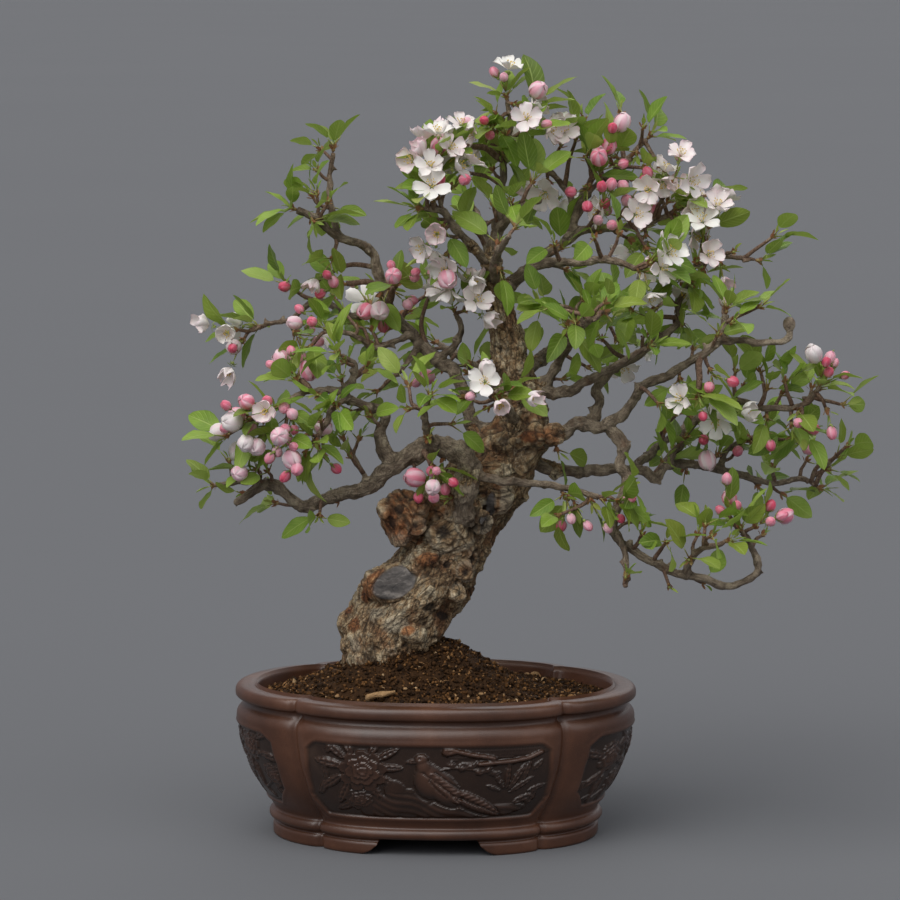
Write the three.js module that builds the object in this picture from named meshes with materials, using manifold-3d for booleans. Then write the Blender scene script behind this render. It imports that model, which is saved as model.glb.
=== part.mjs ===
// Crabapple bonsai in flower with the quatrefoil clay pot it grows in.
// Millimetres, Z up, ground at z = 0, the front of the pot towards -Y.
import * as THREE from "three";
import { mergeVertices } from "three/addons/utils/BufferGeometryUtils.js";
import Module from "manifold-3d";

const wasm = await Module();
wasm.setup();
const { Manifold, Mesh } = wasm;

// ---- driving dimensions -------------------------------------------------------------------------------
const GAP = 0.3; // between neighbouring bodies
const POT_HALF = [200, 143]; // half width and half depth of the widest outline
const SIDE_LOBE = [88, 112]; // centre and radius of the round lobes left and right
const FRONT_LOBE = [165, 143, 2.6]; // half width, half depth and squareness of the front and back lobes
// outside of the pot from the foot to the rim: height, half width, half depth
const POT_OUTSIDE = [
  [0, 164, 118], [12, 164, 118], [14, 160.5, 115.5], [20, 168, 121.5], [28, 163, 117], [54, 181, 130],
  [84, 194.5, 139], [106, 199.5, 142.5], [118, 200.5, 143.5], [128, 198, 141.5], [133, 192.5, 137.5],
  [138, 192.5, 137.5], [140, 200.5, 143.5], [147, 201.5, 144], [152, 197, 140.5],
];
// inside of the pot from the rim down to the floor
const POT_INSIDE = [[151.5, 182, 126.5], [148, 178, 123], [64, 160, 111], [31, 146, 101]];
const FOOT_INSIDE = [148, 103]; // inner edge of the foot ring
const FLOOR_UNDERSIDE = 15;
const FOOT_OPENING = [58, 16]; // half width and height of the cut-out between the feet, front and back
const DRAIN_HOLES = [[-78, 0], [78, 0]];
const DRAIN_RADIUS = 13;
const PANEL_DEPTH = 2.6;
const SOIL_EDGE = 141; // soil level at the wall
const SOIL_MOUND = [-18, 4, 56, 78, 74]; // x, y, rise, spread in x, spread in y
const EYE_DISTANCE = 4000; // the elevation of the tree is drawn for a viewer this far off
const EYE_TILT = THREE.MathUtils.degToRad(7.2);
const EYE_TURN = THREE.MathUtils.degToRad(3);
const EYE_AIM = [15, 388];
const SHOOT_LENGTH = 8;
const LEAF_LENGTH = 33;
const TRIALS = 14;

const UP = new THREE.Vector3(0, 0, 1);
const vec = (x, y, z) => new THREE.Vector3(x, y, z);

// ---- closed skins -------------------------------------------------------------------------------------
function solid(geometry) {
  const g = mergeVertices(geometry, 1e-4);
  const xyz = Float32Array.from(g.attributes.position.array);
  const tri = Uint32Array.from(g.index.array);
  const corner = (k) => vec().fromArray(xyz, 3 * tri[k]);
  let volume = 0;
  for (let k = 0; k < tri.length; k += 3) volume += corner(k).dot(corner(k + 1).cross(corner(k + 2)));
  if (volume < 0) for (let k = 0; k < tri.length; k += 3) [tri[k], tri[k + 1]] = [tri[k + 1], tri[k]];
  return new Manifold(new Mesh({ numProp: 3, vertProperties: xyz, triVerts: tri }));
}

/** Closed skin: rings of `cols` points between two poles, row 0 and row `rows`. */
function skin(rows, cols, place) {
  const g = new THREE.SphereGeometry(1, cols, rows);
  g.deleteAttribute("normal");
  g.deleteAttribute("uv");
  const p = g.attributes.position;
  for (let k = 0; k < p.count; k++) {
    const row = Math.floor(k / (cols + 1));
    p.setXYZ(k, ...place(row, (k % (cols + 1)) % cols));
  }
  return solid(g);
}

/** Tapered round tube along a path, one ring at each point. `swell` varies the radius around and along. */
function limb(path, radii, sides, swell = () => 1) {
  const curve = new THREE.CatmullRomCurve3(path, false, "catmullrom", 0.5);
  const last = path.length - 1;
  const normal = vec(0.3, -0.9, 0.2);
  const rings = path.map((point, i) => {
    const tangent = curve.getTangent(i / last);
    normal.addScaledVector(tangent, -normal.dot(tangent)).normalize();
    return { point, across: normal.clone(), over: tangent.clone().cross(normal), radius: radii[i] };
  });
  return skin(path.length + 1, sides, (row, col) => {
    const i = THREE.MathUtils.clamp(row - 1, 0, last);
    const { point, across, over, radius } = rings[i];
    if (row !== i + 1) return point.toArray();
    const a = (2 * Math.PI * col) / sides;
    const r = radius * swell(i, a);
    return point.clone().addScaledVector(across, r * Math.cos(a)).addScaledVector(over, r * Math.sin(a))
      .toArray();
  });
}

function ball(centre, radii, turn = [0, 0, 0], cols = 6, rows = 4) {
  const g = new THREE.SphereGeometry(1, cols, rows);
  g.deleteAttribute("normal");
  g.deleteAttribute("uv");
  g.scale(...radii).rotateX(turn[0]).rotateY(turn[1]).rotateZ(turn[2]).translate(...centre.toArray());
  return solid(g);
}

const join = (parts) => Manifold.union(parts);

// ---- pot ----------------------------------------------------------------------------------------------
const sideReach = (a) => {
  const [c, r] = SIDE_LOBE;
  return c * Math.abs(Math.cos(a)) + Math.sqrt(r * r - (c * Math.sin(a)) ** 2);
};
const frontReach = (a) => {
  const [w, d, n] = FRONT_LOBE;
  return (Math.abs(Math.cos(a) / w) ** n + Math.abs(Math.sin(a) / d) ** n) ** (-1 / n);
};
// angle at which a side lobe meets a front lobe
let cusp = 0.2;
while (sideReach(cusp) > frontReach(cusp)) cusp += 0.001;
const POT_ANGLES = [];
for (const [from, to, steps] of [[-cusp, cusp, 6], [cusp, Math.PI - cusp, 8]])
  for (const half of [0, Math.PI])
    for (let k = 0; k < steps; k++) POT_ANGLES.push(from + ((to - from) * k) / steps + half);
POT_ANGLES.sort((a, b) => a - b);

/** Point of the quatrefoil outline at one angle, for an outline of the given half width and half depth. */
function outline(angle, halfX, halfY) {
  const r = Math.max(sideReach(angle), frontReach(angle));
  return [(r * Math.cos(angle) * halfX) / POT_HALF[0], (r * Math.sin(angle) * halfY) / POT_HALF[1]];
}

/** Solid whose level outlines are quatrefoils, from the pole under it to the pole over it. */
function quatrefoil(levels) {
  return skin(levels.length + 1, POT_ANGLES.length, (row, col) => {
    const [z, halfX, halfY] = levels[THREE.MathUtils.clamp(row - 1, 0, levels.length - 1)];
    if (row === 0 || row > levels.length) return [0, 0, z];
    return [...outline(POT_ANGLES[col], halfX, halfY), z];
  });
}

function outsideAt(z) {
  const k = POT_OUTSIDE.findIndex((level) => level[0] >= z);
  const [a, b] = [POT_OUTSIDE[k - 1], POT_OUTSIDE[k]];
  const t = (z - a[0]) / (b[0] - a[0]);
  return [a[1] + (b[1] - a[1]) * t, a[2] + (b[2] - a[2]) * t];
}

/** Prism standing out of the pot over a panel outline given in [along, height]. */
function panelPrism(points, from, to) {
  const g = new THREE.ExtrudeGeometry(new THREE.Shape(points.map(([a, z]) => new THREE.Vector2(a, z))), {
    depth: to - from, bevelEnabled: false,
  });
  g.deleteAttribute("normal");
  g.deleteAttribute("uv");
  g.translate(0, 0, from).rotateX(Math.PI / 2);
  return solid(g.index ? g : mergeVertices(g, 1e-4));
}

const FRONT_PANEL = [
  [-100, 38], [-117, 58], [-121, 84], [-121, 107], [-113, 115], [113, 115], [121, 107], [121, 84],
  [117, 58], [100, 38],
];
const SIDE_PANEL = [[-36, 40], [-52, 76], [-52, 106], [-44, 114], [44, 114], [52, 106], [52, 76], [36, 40]];
// raised figures: centre along the panel, height, half length, half width, turn
const PEONY = [
  [-53, 86, 9, 6, 0.5], [-66, 95, 9, 6, 1.7], [-79, 84, 9, 6, 0.1], [-68, 70, 9, 6, 1.5],
  [-98, 92, 12, 4, 2.5], [-92, 60, 13, 4, 0.6],
];
const BIRD = [
  [14, 76, 20, 8, 2.7], [-7, 94, 8, 5, 1.9], [42, 62, 18, 4, 2.7], [0, 50, 26, 6, 0.1],
];
const REEDS = [[84, 72, 20, 5, 1.1], [76, 102, 26, 5, 0.1]];
const SPRIG = [[0, 78, 11, 9, 0], [-18, 94, 13, 5, 2.3], [18, 94, 13, 5, 0.8]];

function raised([along, z, length, width, turn], side) {
  const [halfX, halfY] = outsideAt(z);
  const figure = new THREE.SphereGeometry(1, 5, 3);
  figure.deleteAttribute("normal");
  figure.deleteAttribute("uv");
  figure.rotateX(Math.PI / 2).scale(length, 2.2, width).rotateY(-turn);
  if (side === "front") {
    const [w, d, n] = FRONT_LOBE;
    const x = (along * POT_HALF[0]) / halfX;
    const y = (d * (1 - Math.abs(x / w) ** n) ** (1 / n) * halfY) / POT_HALF[1];
    figure.rotateZ(along * 0.0022).translate(along, -(y - PANEL_DEPTH), z);
  } else {
    const y = (along * POT_HALF[1]) / halfY;
    const x = ((SIDE_LOBE[0] + Math.sqrt(SIDE_LOBE[1] ** 2 - y * y)) * halfX) / POT_HALF[0];
    figure.rotateZ(Math.asin(along / SIDE_LOBE[1]) * 0.9).translate(along, -(x - PANEL_DEPTH), z)
      .rotateZ(Math.PI / 2);
  }
  return solid(figure);
}

function makePot() {
  const under = [[FLOOR_UNDERSIDE, FOOT_INSIDE[0] - 4, FOOT_INSIDE[1] - 4], [0, ...FOOT_INSIDE]];
  let pot = quatrefoil([...under, ...POT_OUTSIDE, ...POT_INSIDE]);
  const [half, high] = FOOT_OPENING;
  const opening = panelPrism([[-half - 8, -1], [-half, 4], [-half + 9, high], [half - 9, high], [half, 4],
    [half + 8, -1]], -220, 220);
  pot = pot.subtract(opening);
  for (const [x, y] of DRAIN_HOLES) {
    const drill = new THREE.CylinderGeometry(DRAIN_RADIUS, DRAIN_RADIUS, 40, 14).rotateX(Math.PI / 2);
    drill.deleteAttribute("normal");
    drill.deleteAttribute("uv");
    pot = pot.subtract(solid(drill.translate(x, y, 25)));
  }
  // sunk panels front, back, left and right, their floors parallel to the wall
  const sunk = quatrefoil(POT_OUTSIDE.slice(4, 11).map(([z, a, b]) => [z, a - PANEL_DEPTH, b - PANEL_DEPTH]));
  const front = panelPrism(FRONT_PANEL, 60, 160);
  const side = panelPrism(SIDE_PANEL, 120, 215);
  for (const turn of [0, 180]) {
    pot = pot.subtract(front.rotate(0, 0, turn).subtract(sunk));
    pot = pot.subtract(side.rotate(0, 0, turn + 90).subtract(sunk));
    const figures = [...PEONY, ...BIRD, ...REEDS].map((f) => raised(f, "front"));
    figures.push(...SPRIG.map((f) => raised(f, "side")));
    pot = join([pot, ...figures.map((f) => f.rotate(0, 0, turn))]);
  }
  return pot;
}

// ---- elevation of the tree ----------------------------------------------------------------------------
/**
 * Point of the tree from its place on the front elevation: x to the right of the pot's middle and h above
 * the ground, as seen from the eye, and depth behind (+) or before (-) the pot's middle.
 */
function at([x, h, depth]) {
  const [aimX, aimZ] = EYE_AIM;
  const eye = vec(aimX, -EYE_DISTANCE * Math.cos(EYE_TILT), aimZ + EYE_DISTANCE * Math.sin(EYE_TILT));
  const v = h - 386;
  const sheet = vec(x, v * Math.sin(EYE_TILT), aimZ + v * Math.cos(EYE_TILT));
  const s = (depth - eye.y) / (sheet.y - eye.y);
  return sheet.sub(eye).multiplyScalar(s).add(eye).applyAxisAngle(UP, EYE_TURN);
}

// limbs: where they grow from and where they pass, [x, h, depth], and their first and last radius
const TRUNK = [
  [-52, 118, 8, 42], [-50, 150, 6, 45], [-47, 178, 2, 46], [-42, 206, 0, 47], [-22, 236, -2, 45],
  [-4, 262, -2, 43], [9, 284, 0, 40], [19, 306, 0, 41], [31, 330, 0, 42], [47, 352, 2, 41], [66, 376, 4, 38],
  [82, 400, 4, 31], [87, 430, 2, 23], [79, 460, 0, 18.5], [73, 496, 2, 16.5], [62, 536, 4, 13.5],
  [55, 574, 4, 10.5],
];
const LIMBS = {
  loop: [15, 4, [30, 318, -30], [28, 345, -50], [34, 370, -52], [20, 386, -46], [-8, 390, -42], [-29, 378, -40],
    [-52, 361, -42], [-71, 346, -44], [-104, 340, -46], [-132, 329, -52], [-161, 351, -58], [-173, 349, -60],
    [-201, 332, -64]],
  loopFork: [5, 3, [-160, 350, -57], [-178, 353, -50], [-196, 354, -44], [-217, 351, -38]],
  riser: [8, 3.4, [-40, 370, -40], [-53, 388, -37], [-56, 405, -37], [-50, 420, -40], [-64, 430, -46],
    [-89, 438, -58], [-84, 454, -62], [-81, 470, -66], [-94, 480, -74]],
  riserSide: [4.4, 2.8, [-88, 438, -58], [-102, 428, -72], [-110, 412, -82], [-117, 399, -92]],
  riserLeft: [4.6, 2.8, [-88, 440, -58], [-112, 447, -64], [-137, 440, -70], [-160, 428, -76]],
  thin: [3.6, 2.6, [-64, 352, -42], [-78, 372, -26], [-90, 394, -14]],
  upperLeft: [14, 3.8, [70, 398, 4], [40, 408, 14], [31, 434, 18], [20, 464, 24], [-1, 479, 28], [-30, 509, 32],
    [-47, 531, 34], [-56, 561, 34], [-69, 590, 30], [-99, 600, 22], [-118, 618, 15], [-138, 626, 10]],
  rearTwig: [4.2, 2.6, [-95, 599, 24], [-104, 628, 32], [-105, 660, 37], [-102, 684, 40]],
  sucker: [4.4, 3, [2, 476, 27], [20, 491, 16], [26, 508, 8], [20, 523, 2]],
  brownTwig: [3.6, 2.6, [-16, 495, 29], [-30, 471, 26], [-50, 452, 20]],
  leftTwig: [5, 2.8, [-34, 515, 32], [-52, 521, 40], [-85, 521, 48], [-118, 536, 56], [-142, 518, 64],
    [-172, 510, 74]],
  lowTwigLeft: [4.4, 2.8, [-22, 500, 30], [-37, 496, 18], [-60, 488, 5], [-80, 500, -8], [-104, 506, -18]],
  rightFirst: [17, 4, [88, 390, 0], [114, 396, -14], [146, 410, -22], [172, 410, -28], [194, 430, -32],
    [206, 448, -34], [240, 464, -38], [274, 486, -36], [288, 503, -32], [291, 522, -30]],
  gallTwig: [4.4, 3.4, [282, 495, -35], [303, 495, -36], [328, 493, -36], [352, 497, -38], [354, 508, -38]],
  rightSecond: [9, 3.2, [152, 409, -24], [163, 430, -6], [160, 447, 6], [176, 464, 16], [206, 483, 26],
    [236, 506, 34], [246, 518, 38], [243, 533, 40], [254, 549, 44]],
  rightThird: [15, 3.2, [84, 378, 8], [125, 366, 22], [162, 366, 26], [201, 367, 28], [222, 359, 30],
    [240, 386, 28], [262, 415, 24], [295, 435, 18], [325, 429, 13], [364, 430, 6], [380, 444, 2]],
  lowRight: [8.5, 3.6, [172, 411, -27], [189, 391, -40], [184, 372, -48], [192, 354, -54], [178, 315, -64],
    [184, 297, -66], [216, 275, -70], [255, 260, -72], [295, 251, -72], [320, 262, -68], [318, 286, -66],
    [307, 304, -64]],
  lowRightSub: [4.4, 2.8, [252, 261, -72], [258, 280, -84], [272, 289, -92], [290, 294, -98]],
  hanging: [4, 2.8, [182, 303, -66], [189, 288, -78], [191, 266, -86], [190, 248, -90]],
  rightFifth: [6, 3, [229, 370, 30], [246, 373, 44], [281, 368, 62], [294, 388, 68], [325, 402, 78]],
  rightLow: [4.6, 2.8, [277, 369, 60], [306, 360, 70], [340, 353, 75], [366, 358, 78], [381, 350, 80]],
  frontTwig: [7.5, 3, [36, 366, -50], [62, 356, -62], [88, 353, -66], [118, 350, -69], [146, 345, -74],
    [164, 338, -78]],
  middle: [10, 3.2, [90, 424, 2], [106, 446, -4], [118, 466, -8], [130, 484, -14], [142, 508, -20], [149, 530, -26]],
  middleSide: [7, 3, [108, 446, -4], [132, 444, -18], [152, 456, -32], [180, 470, -50], [212, 488, -70]],
  apexLeft: [8.5, 3.2, [58, 566, 2], [36, 590, -10], [17, 613, -20], [6, 625, -28], [-11, 627, -34]],
  apex: [9.5, 2.8, [56, 570, 4], [61, 600, 4], [65, 628, 8], [66, 652, 14], [70, 684, 20], [75, 712, 20],
    [72, 735, 18]],
  apexMiddle: [6, 3.2, [62, 606, 5], [73, 617, -8], [84, 630, -24], [106, 635, -38]],
  shelf: [9.5, 3.2, [62, 540, 4], [86, 562, 14], [115, 584, 25], [150, 605, 34], [176, 608, 40], [204, 611, 44],
    [235, 621, 48]],
  shelfUp: [5.4, 3.2, [130, 592, 29], [138, 610, 33], [143, 632, 33], [157, 656, 28]],
  shelfRear: [4.6, 2.8, [141, 626, 36], [132, 646, 44], [118, 660, 50], [90, 680, 58]],
  topRight: [4.2, 2.8, [140, 618, 34], [154, 644, 50], [182, 668, 54], [212, 697, 50]],
  shelfLow: [6.5, 3.2, [78, 556, 10], [104, 572, -10], [141, 574, -26], [172, 577, -38], [200, 567, -50]],
  farRight: [3.8, 2.6, [250, 545, 42], [258, 568, 40], [282, 580, 36], [304, 578, 32], [320, 576, 30]],
  rear: [11, 3, [84, 420, 14], [66, 440, 66], [48, 462, 112], [24, 480, 150], [4, 492, 182]],
  rearRight: [9, 3, [78, 458, 8], [108, 480, 58], [138, 503, 104], [166, 520, 146], [176, 530, 176]],
  rearLow: [6, 2.8, [200, 367, 29], [216, 384, 70], [238, 400, 110], [252, 412, 148]],
  rearTop: [7, 2.8, [60, 545, 6], [52, 586, 50], [46, 612, 88], [38, 630, 120]],
  rearLeft: [5.6, 2.8, [-20, 500, 30], [-32, 512, 78], [-46, 522, 124], [-62, 528, 162]],
  frontLeft: [6, 3, [-2, 388, -43], [-8, 405, -62], [-11, 424, -80], [-6, 438, -94]],
  frontMiddle: [6.5, 3, [82, 416, -14], [70, 428, -46], [60, 437, -74], [55, 444, -92]],
  frontTop: [5.4, 2.8, [58, 556, 2], [60, 574, -46], [66, 590, -86], [75, 600, -120]],
  frontShelf: [5, 2.8, [124, 474, -11], [136, 496, -56], [150, 512, -96], [164, 520, -130]],
};
const GALL = [[354, 512, -38], 6.5];
// short spurs: limb, how far along it, tip
const SPURS = {
  loopSpur: ["loop", 0.36, [-4, 372, -66]],
  riserSpur: ["riserLeft", 0.5, [-134, 456, -62]],
  leftSpurMiddle: ["upperLeft", 0.6, [-88, 552, 20]],
  leftSpurLow: ["upperLeft", 0.54, [-40, 550, 8]],
  rightSpur: ["rightFirst", 0.74, [264, 446, -56]],
  apexSpur: ["apex", 0.62, [32, 690, -12]],
};
// leafy sprays at limb ends and on spurs: leaves, then the flowers over them (p bud, b balloon, o open)
const SPRAYS = [
  ["loopFork", 4, ""], ["riserLeft", 5, "bpbp"], ["riserSpur", 4, "bpp"], ["riserSide", 4, ""],
  ["riser", 5, ""], ["thin", 4, ""], ["frontLeft", 6, ""], ["frontMiddle", 4, "obp"], ["loopSpur", 3, "bpp"],
  ["upperLeft", 6, ""], ["rearTwig", 4, ""], ["leftTwig", 5, "ob"], ["lowTwigLeft", 4, "bpp"],
  ["leftSpurMiddle", 4, "pp"], ["sucker", 3, "ooo"], ["leftSpurLow", 3, "bpp"], ["rightFirst", 5, ""],
  ["rightThird", 4, "ppp"], ["lowRight", 4, "bpp"], ["lowRightSub", 4, ""], ["rightFifth", 4, ""],
  ["rightLow", 4, ""], ["rightSpur", 4, "po"], ["frontTwig", 4, "ppp"], ["middle", 6, ""],
  ["middleSide", 5, ""], ["apexLeft", 4, ""], ["apex", 5, "opp"], ["apexSpur", 3, "ooo"],
  ["shelfUp", 4, "bbp"], ["shelfRear", 4, "oo"], ["shelf", 4, "ooo"], ["shelfLow", 4, "oop"],
  ["farRight", 4, ""], ["rear", 4, ""], ["rearRight", 4, ""], ["topRight", 4, ""],
];

// lumps, burls and hollows of the old trunk: place, radii, 1 raised or -1 hollowed
const LUMPS = [
  [[-32, 318, -28], [23, 22, 29], 1], [[-44, 252, -34], [28, 15, 18], 1], [[-9, 277, -36], [15, 12, 12], 1],
  [[-64, 244, -16], [13, 15, 15], 1], [[-80, 212, -6], [16, 17, 17], 1], [[8, 303, -38], [16, 12, 14], 1],
  [[62, 338, -32], [17, 14, 16], 1], [[-8, 260, 32], [24, 18, 22], 1], [[34, 326, 34], [24, 18, 22], 1],
  [[46, 314, -46], [13, 11, 13], -1],
];

function makeWood() {
  const path = TRUNK.map((p) => at(p));
  const bark = (i, a) => (i < 3 ? 1 : 1 + 0.06 * Math.sin(3 * a + 1.9 * i) + 0.05 * Math.sin(5 * a - 2.3 * i));
  const parts = [limb(path, TRUNK.map((p) => p[3]), 14, bark)];
  const ends = {};
  const routes = {};
  for (const [name, [first, last, ...points]] of Object.entries(LIMBS)) {
    const route = points.map(at);
    const radii = route.map((_, i) => first + (last - first) * (i / (route.length - 1)) ** 0.7);
    parts.push(limb(route, radii, first > 6 ? 5 : first > 4.4 ? 4 : 3));
    routes[name] = { curve: new THREE.CatmullRomCurve3(route, false, "catmullrom", 0.5), last };
    ends[name] = { tip: route.at(-1), axis: routes[name].curve.getTangent(1), radius: last };
  }
  for (const [name, [host, t, tip]] of Object.entries(SPURS)) {
    const root = routes[host].curve.getPoint(t);
    const end = at(tip);
    const middle = root.clone().lerp(end, 0.5).add(vec(0, 0, 0.1 * root.distanceTo(end)));
    parts.push(limb([root, middle, end], [3.8, 3.3, 3], 3));
    const curve = new THREE.CatmullRomCurve3([root, middle, end], false, "catmullrom", 0.5);
    ends[name] = { tip: end, axis: curve.getTangent(1), radius: 2.8 };
  }
  parts.push(ball(at(GALL[0]), [GALL[1], GALL[1], GALL[1] * 1.2], [0.3, 0.2, 0.5], 6, 4));
  const lumps = LUMPS.map(([place, radii, kind]) => [ball(at(place), radii, [0.2, 0.3, 0.1], 6, 4), kind]);
  parts.push(...lumps.filter((l) => l[1] > 0).map((l) => l[0]));
  let wood = join(parts);
  for (const [lump, kind] of lumps) if (kind < 0) wood = wood.subtract(lump);
  return { wood, ends, buried: limb(path, TRUNK.map((p) => p[3] + GAP * 1.15), 14, bark) };
}

// ---- soil ---------------------------------------------------------------------------------------------
function makeSoil(buried) {
  const [mx, my, rise, sx, sy] = SOIL_MOUND;
  const level = (x, y) => SOIL_EDGE + rise * Math.exp(-(((x - mx) / sx) ** 2) - ((y - my) / sy) ** 2);
  const [top, knee, floor] = POT_INSIDE.slice(1);
  const inside = (z, [zA, xA, yA], [zB, xB, yB]) => {
    const t = (z - zA) / (zB - zA);
    return [z, xA + (xB - xA) * t - 1.5 * GAP, yA + (yB - yA) * t - 1.5 * GAP];
  };
  const under = [inside(floor[0] + GAP, floor, knee), inside(knee[0], floor, knee)];
  const rim = inside(SOIL_EDGE, knee, top);
  const rings = [0.75, 0.5, 0.25];
  const rows = under.length + 1 + rings.length;
  const soil = skin(rows + 1, POT_ANGLES.length, (row, col) => {
    if (row === 0) return [0, 0, under[0][0]];
    if (row > rows) return [0, 0, level(0, 0)];
    if (row <= under.length) {
      const [z, a, b] = under[row - 1];
      return [...outline(POT_ANGLES[col], a, b), z];
    }
    const [, a, b] = rim;
    const [x, y] = outline(POT_ANGLES[col], a, b);
    const k = row === under.length + 1 ? 1 : rings[row - under.length - 2];
    return [x * k, y * k, level(x * k, y * k)];
  });
  return soil.subtract(buried);
}

// ---- leaves and flowers -------------------------------------------------------------------------------
/** Repeatable random numbers. */
function dice(seed) {
  let s = (seed % 2147483646) + 1;
  const roll = () => (s = (s * 48271) % 2147483647) / 2147483647;
  for (let k = 0; k < 4; k++) roll();
  return roll;
}

function sideways(axis) {
  const first = vec(axis.z, 0.3, -axis.x).addScaledVector(axis, -vec(axis.z, 0.3, -axis.x).dot(axis)).normalize();
  return [first, axis.clone().cross(first)];
}

/** Direction leaning away from an axis by `lean`, turned about it by `turn`. */
function leaning(axis, lean, turn) {
  const [a, b] = sideways(axis);
  const out = a.multiplyScalar(Math.cos(turn)).addScaledVector(b, Math.sin(turn));
  return [axis.clone().multiplyScalar(Math.cos(lean)).addScaledVector(out, Math.sin(lean)), out];
}

/** Where the leaf number k of a spray grows on its given trial. */
function leafPlan(shoot, spray, k, trial) {
  const roll = dice(spray * 7919 + k * 613 + trial * 104729);
  const turn = k * 2.39996 + spray + (roll() - 0.5) * (0.5 + 0.35 * trial);
  const lean = 0.62 + 0.75 * roll() + 0.03 * trial;
  const [way, out] = leaning(shoot.axis, lean, turn);
  const dir = way.addScaledVector(UP, 0.28).normalize();
  const facing = UP.clone().addScaledVector(out, -0.4);
  facing.addScaledVector(dir, -facing.dot(dir)).normalize().applyAxisAngle(dir, (roll() - 0.5) * 0.9);
  const size = 1 - 0.025 * trial;
  return {
    root: shoot.foot.clone().addScaledVector(shoot.axis, SHOOT_LENGTH * (0.3 + 0.5 * roll())),
    dir, facing,
    petiole: (7 + 7 * roll()) * size,
    blade: LEAF_LENGTH * (0.74 + 0.42 * roll()) * size,
    width: 0.46 + 0.1 * roll(),
    droop: 0.05 + 0.3 * roll(),
  };
}

/** Leaf stalk and blade: an arched blade keeled along the midrib, with its widest part below the middle. */
function leafBody(leaf, grow = 0) {
  const { root, dir, facing, petiole, blade, droop } = leaf;
  const width = (leaf.width * blade) / 2;
  const side = dir.clone().cross(facing);
  // distance along, half width, half thickness
  const stations = [
    [0, 0, 0], [0.2, 0.9, 0.75], [petiole, 1.2, 0.7], [petiole + 0.36 * blade, width, 0.75],
    [petiole + 0.73 * blade, 0.74 * width, 0.6], [petiole + blade + grow, 0, 0],
  ];
  return skin(5, 3, (row, col) => {
    const [s, half, thick] = stations[row];
    const past = Math.max(0, s - petiole) / blade;
    const mid = root.clone().addScaledVector(dir, s).addScaledVector(facing, -droop * blade * past * past);
    if (row === 0 || row === 5) return mid.toArray();
    const [across, lift] = [[half + grow, thick + grow], [-half - grow, thick + grow], [0, -thick - grow]][col];
    return mid.addScaledVector(side, across).addScaledVector(facing, lift).toArray();
  });
}

/** Flower stalk with what it carries, on its given trial. */
function flowerPlan(base, spray, k, trial, kind) {
  const roll = dice(spray * 6007 + k * 811 + trial * 15485 + 77);
  const turn = k * 2.39996 + 0.7 * spray + (roll() - 0.5) * (0.6 + 0.4 * trial);
  const lean = (k === 0 ? 0.15 : kind === "o" ? 0.8 : 0.5) + 0.45 * roll() + 0.04 * trial;
  const dir = leaning(base.axis, lean, turn)[0].addScaledVector(vec(0, -0.25, 0.2), 1).normalize();
  return { root: base.foot.clone().addScaledVector(base.axis, 1.4).addScaledVector(dir, 0.4), dir, stalk: 13 + 11 * roll(), kind,
    size: (0.9 + 0.2 * roll()) * (1 - 0.012 * trial), spin: roll() * 6 };
}

/** Stalk and head of a flower; `headOnly` leaves the stalk off. */
function flowerBody({ root, dir, stalk, kind, size, spin }, grow = 0, headOnly = false) {
  const [a, b] = sideways(dir);
  const point = (along, r, turn) => root.clone().addScaledVector(dir, along)
    .addScaledVector(a, r * Math.cos(turn)).addScaledVector(b, r * Math.sin(turn)).toArray();
  if (kind !== "o") {
    const [length, radius] = kind === "p" ? [11.5 * size, 5 * size] : [18 * size, 9 * size];
    const stations = [[0, 0], [0.3, 0.9 + grow], [stalk, 0.9 + grow], [stalk + 0.3 * length, 0.88 * radius + grow],
      [stalk + 0.66 * length, 0.94 * radius + grow], [stalk + length + grow, 0]].slice(headOnly ? 2 : 0);
    if (headOnly) stations.unshift([stalk - grow, 0]);
    const last = stations.length - 1;
    return skin(last, 4, (row, col) => point(...stations[row], spin + (col * Math.PI) / 2));
  }
  // open flower: five petals in one cup, three points to a petal
  const cup = skin(4, 15, (row, col) => {
    const [r, rise] = col % 3 === 0 ? [6.5, 5] : [17.5, 8.5];
    const turn = spin + Math.floor(col / 3) * 1.2566 + [0, 0.28, 0.98][col % 3];
    const ring = [[-grow, 0], [2.4, 2.6], [rise, r + grow], [4.4 + grow, 4.4], [3.6, 0]][row];
    return point(stalk + ring[0] * size, ring[1] * size, turn);
  });
  if (headOnly) return cup;
  return join([cup, limb([root, root.clone().addScaledVector(dir, stalk + 2)], [0.9 + grow, 0.9 + grow], 3)]);
}

const touches = (box, other) => [0, 1, 2].every((k) => box.min[k] <= other.max[k] && other.min[k] <= box.max[k]);

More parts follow.
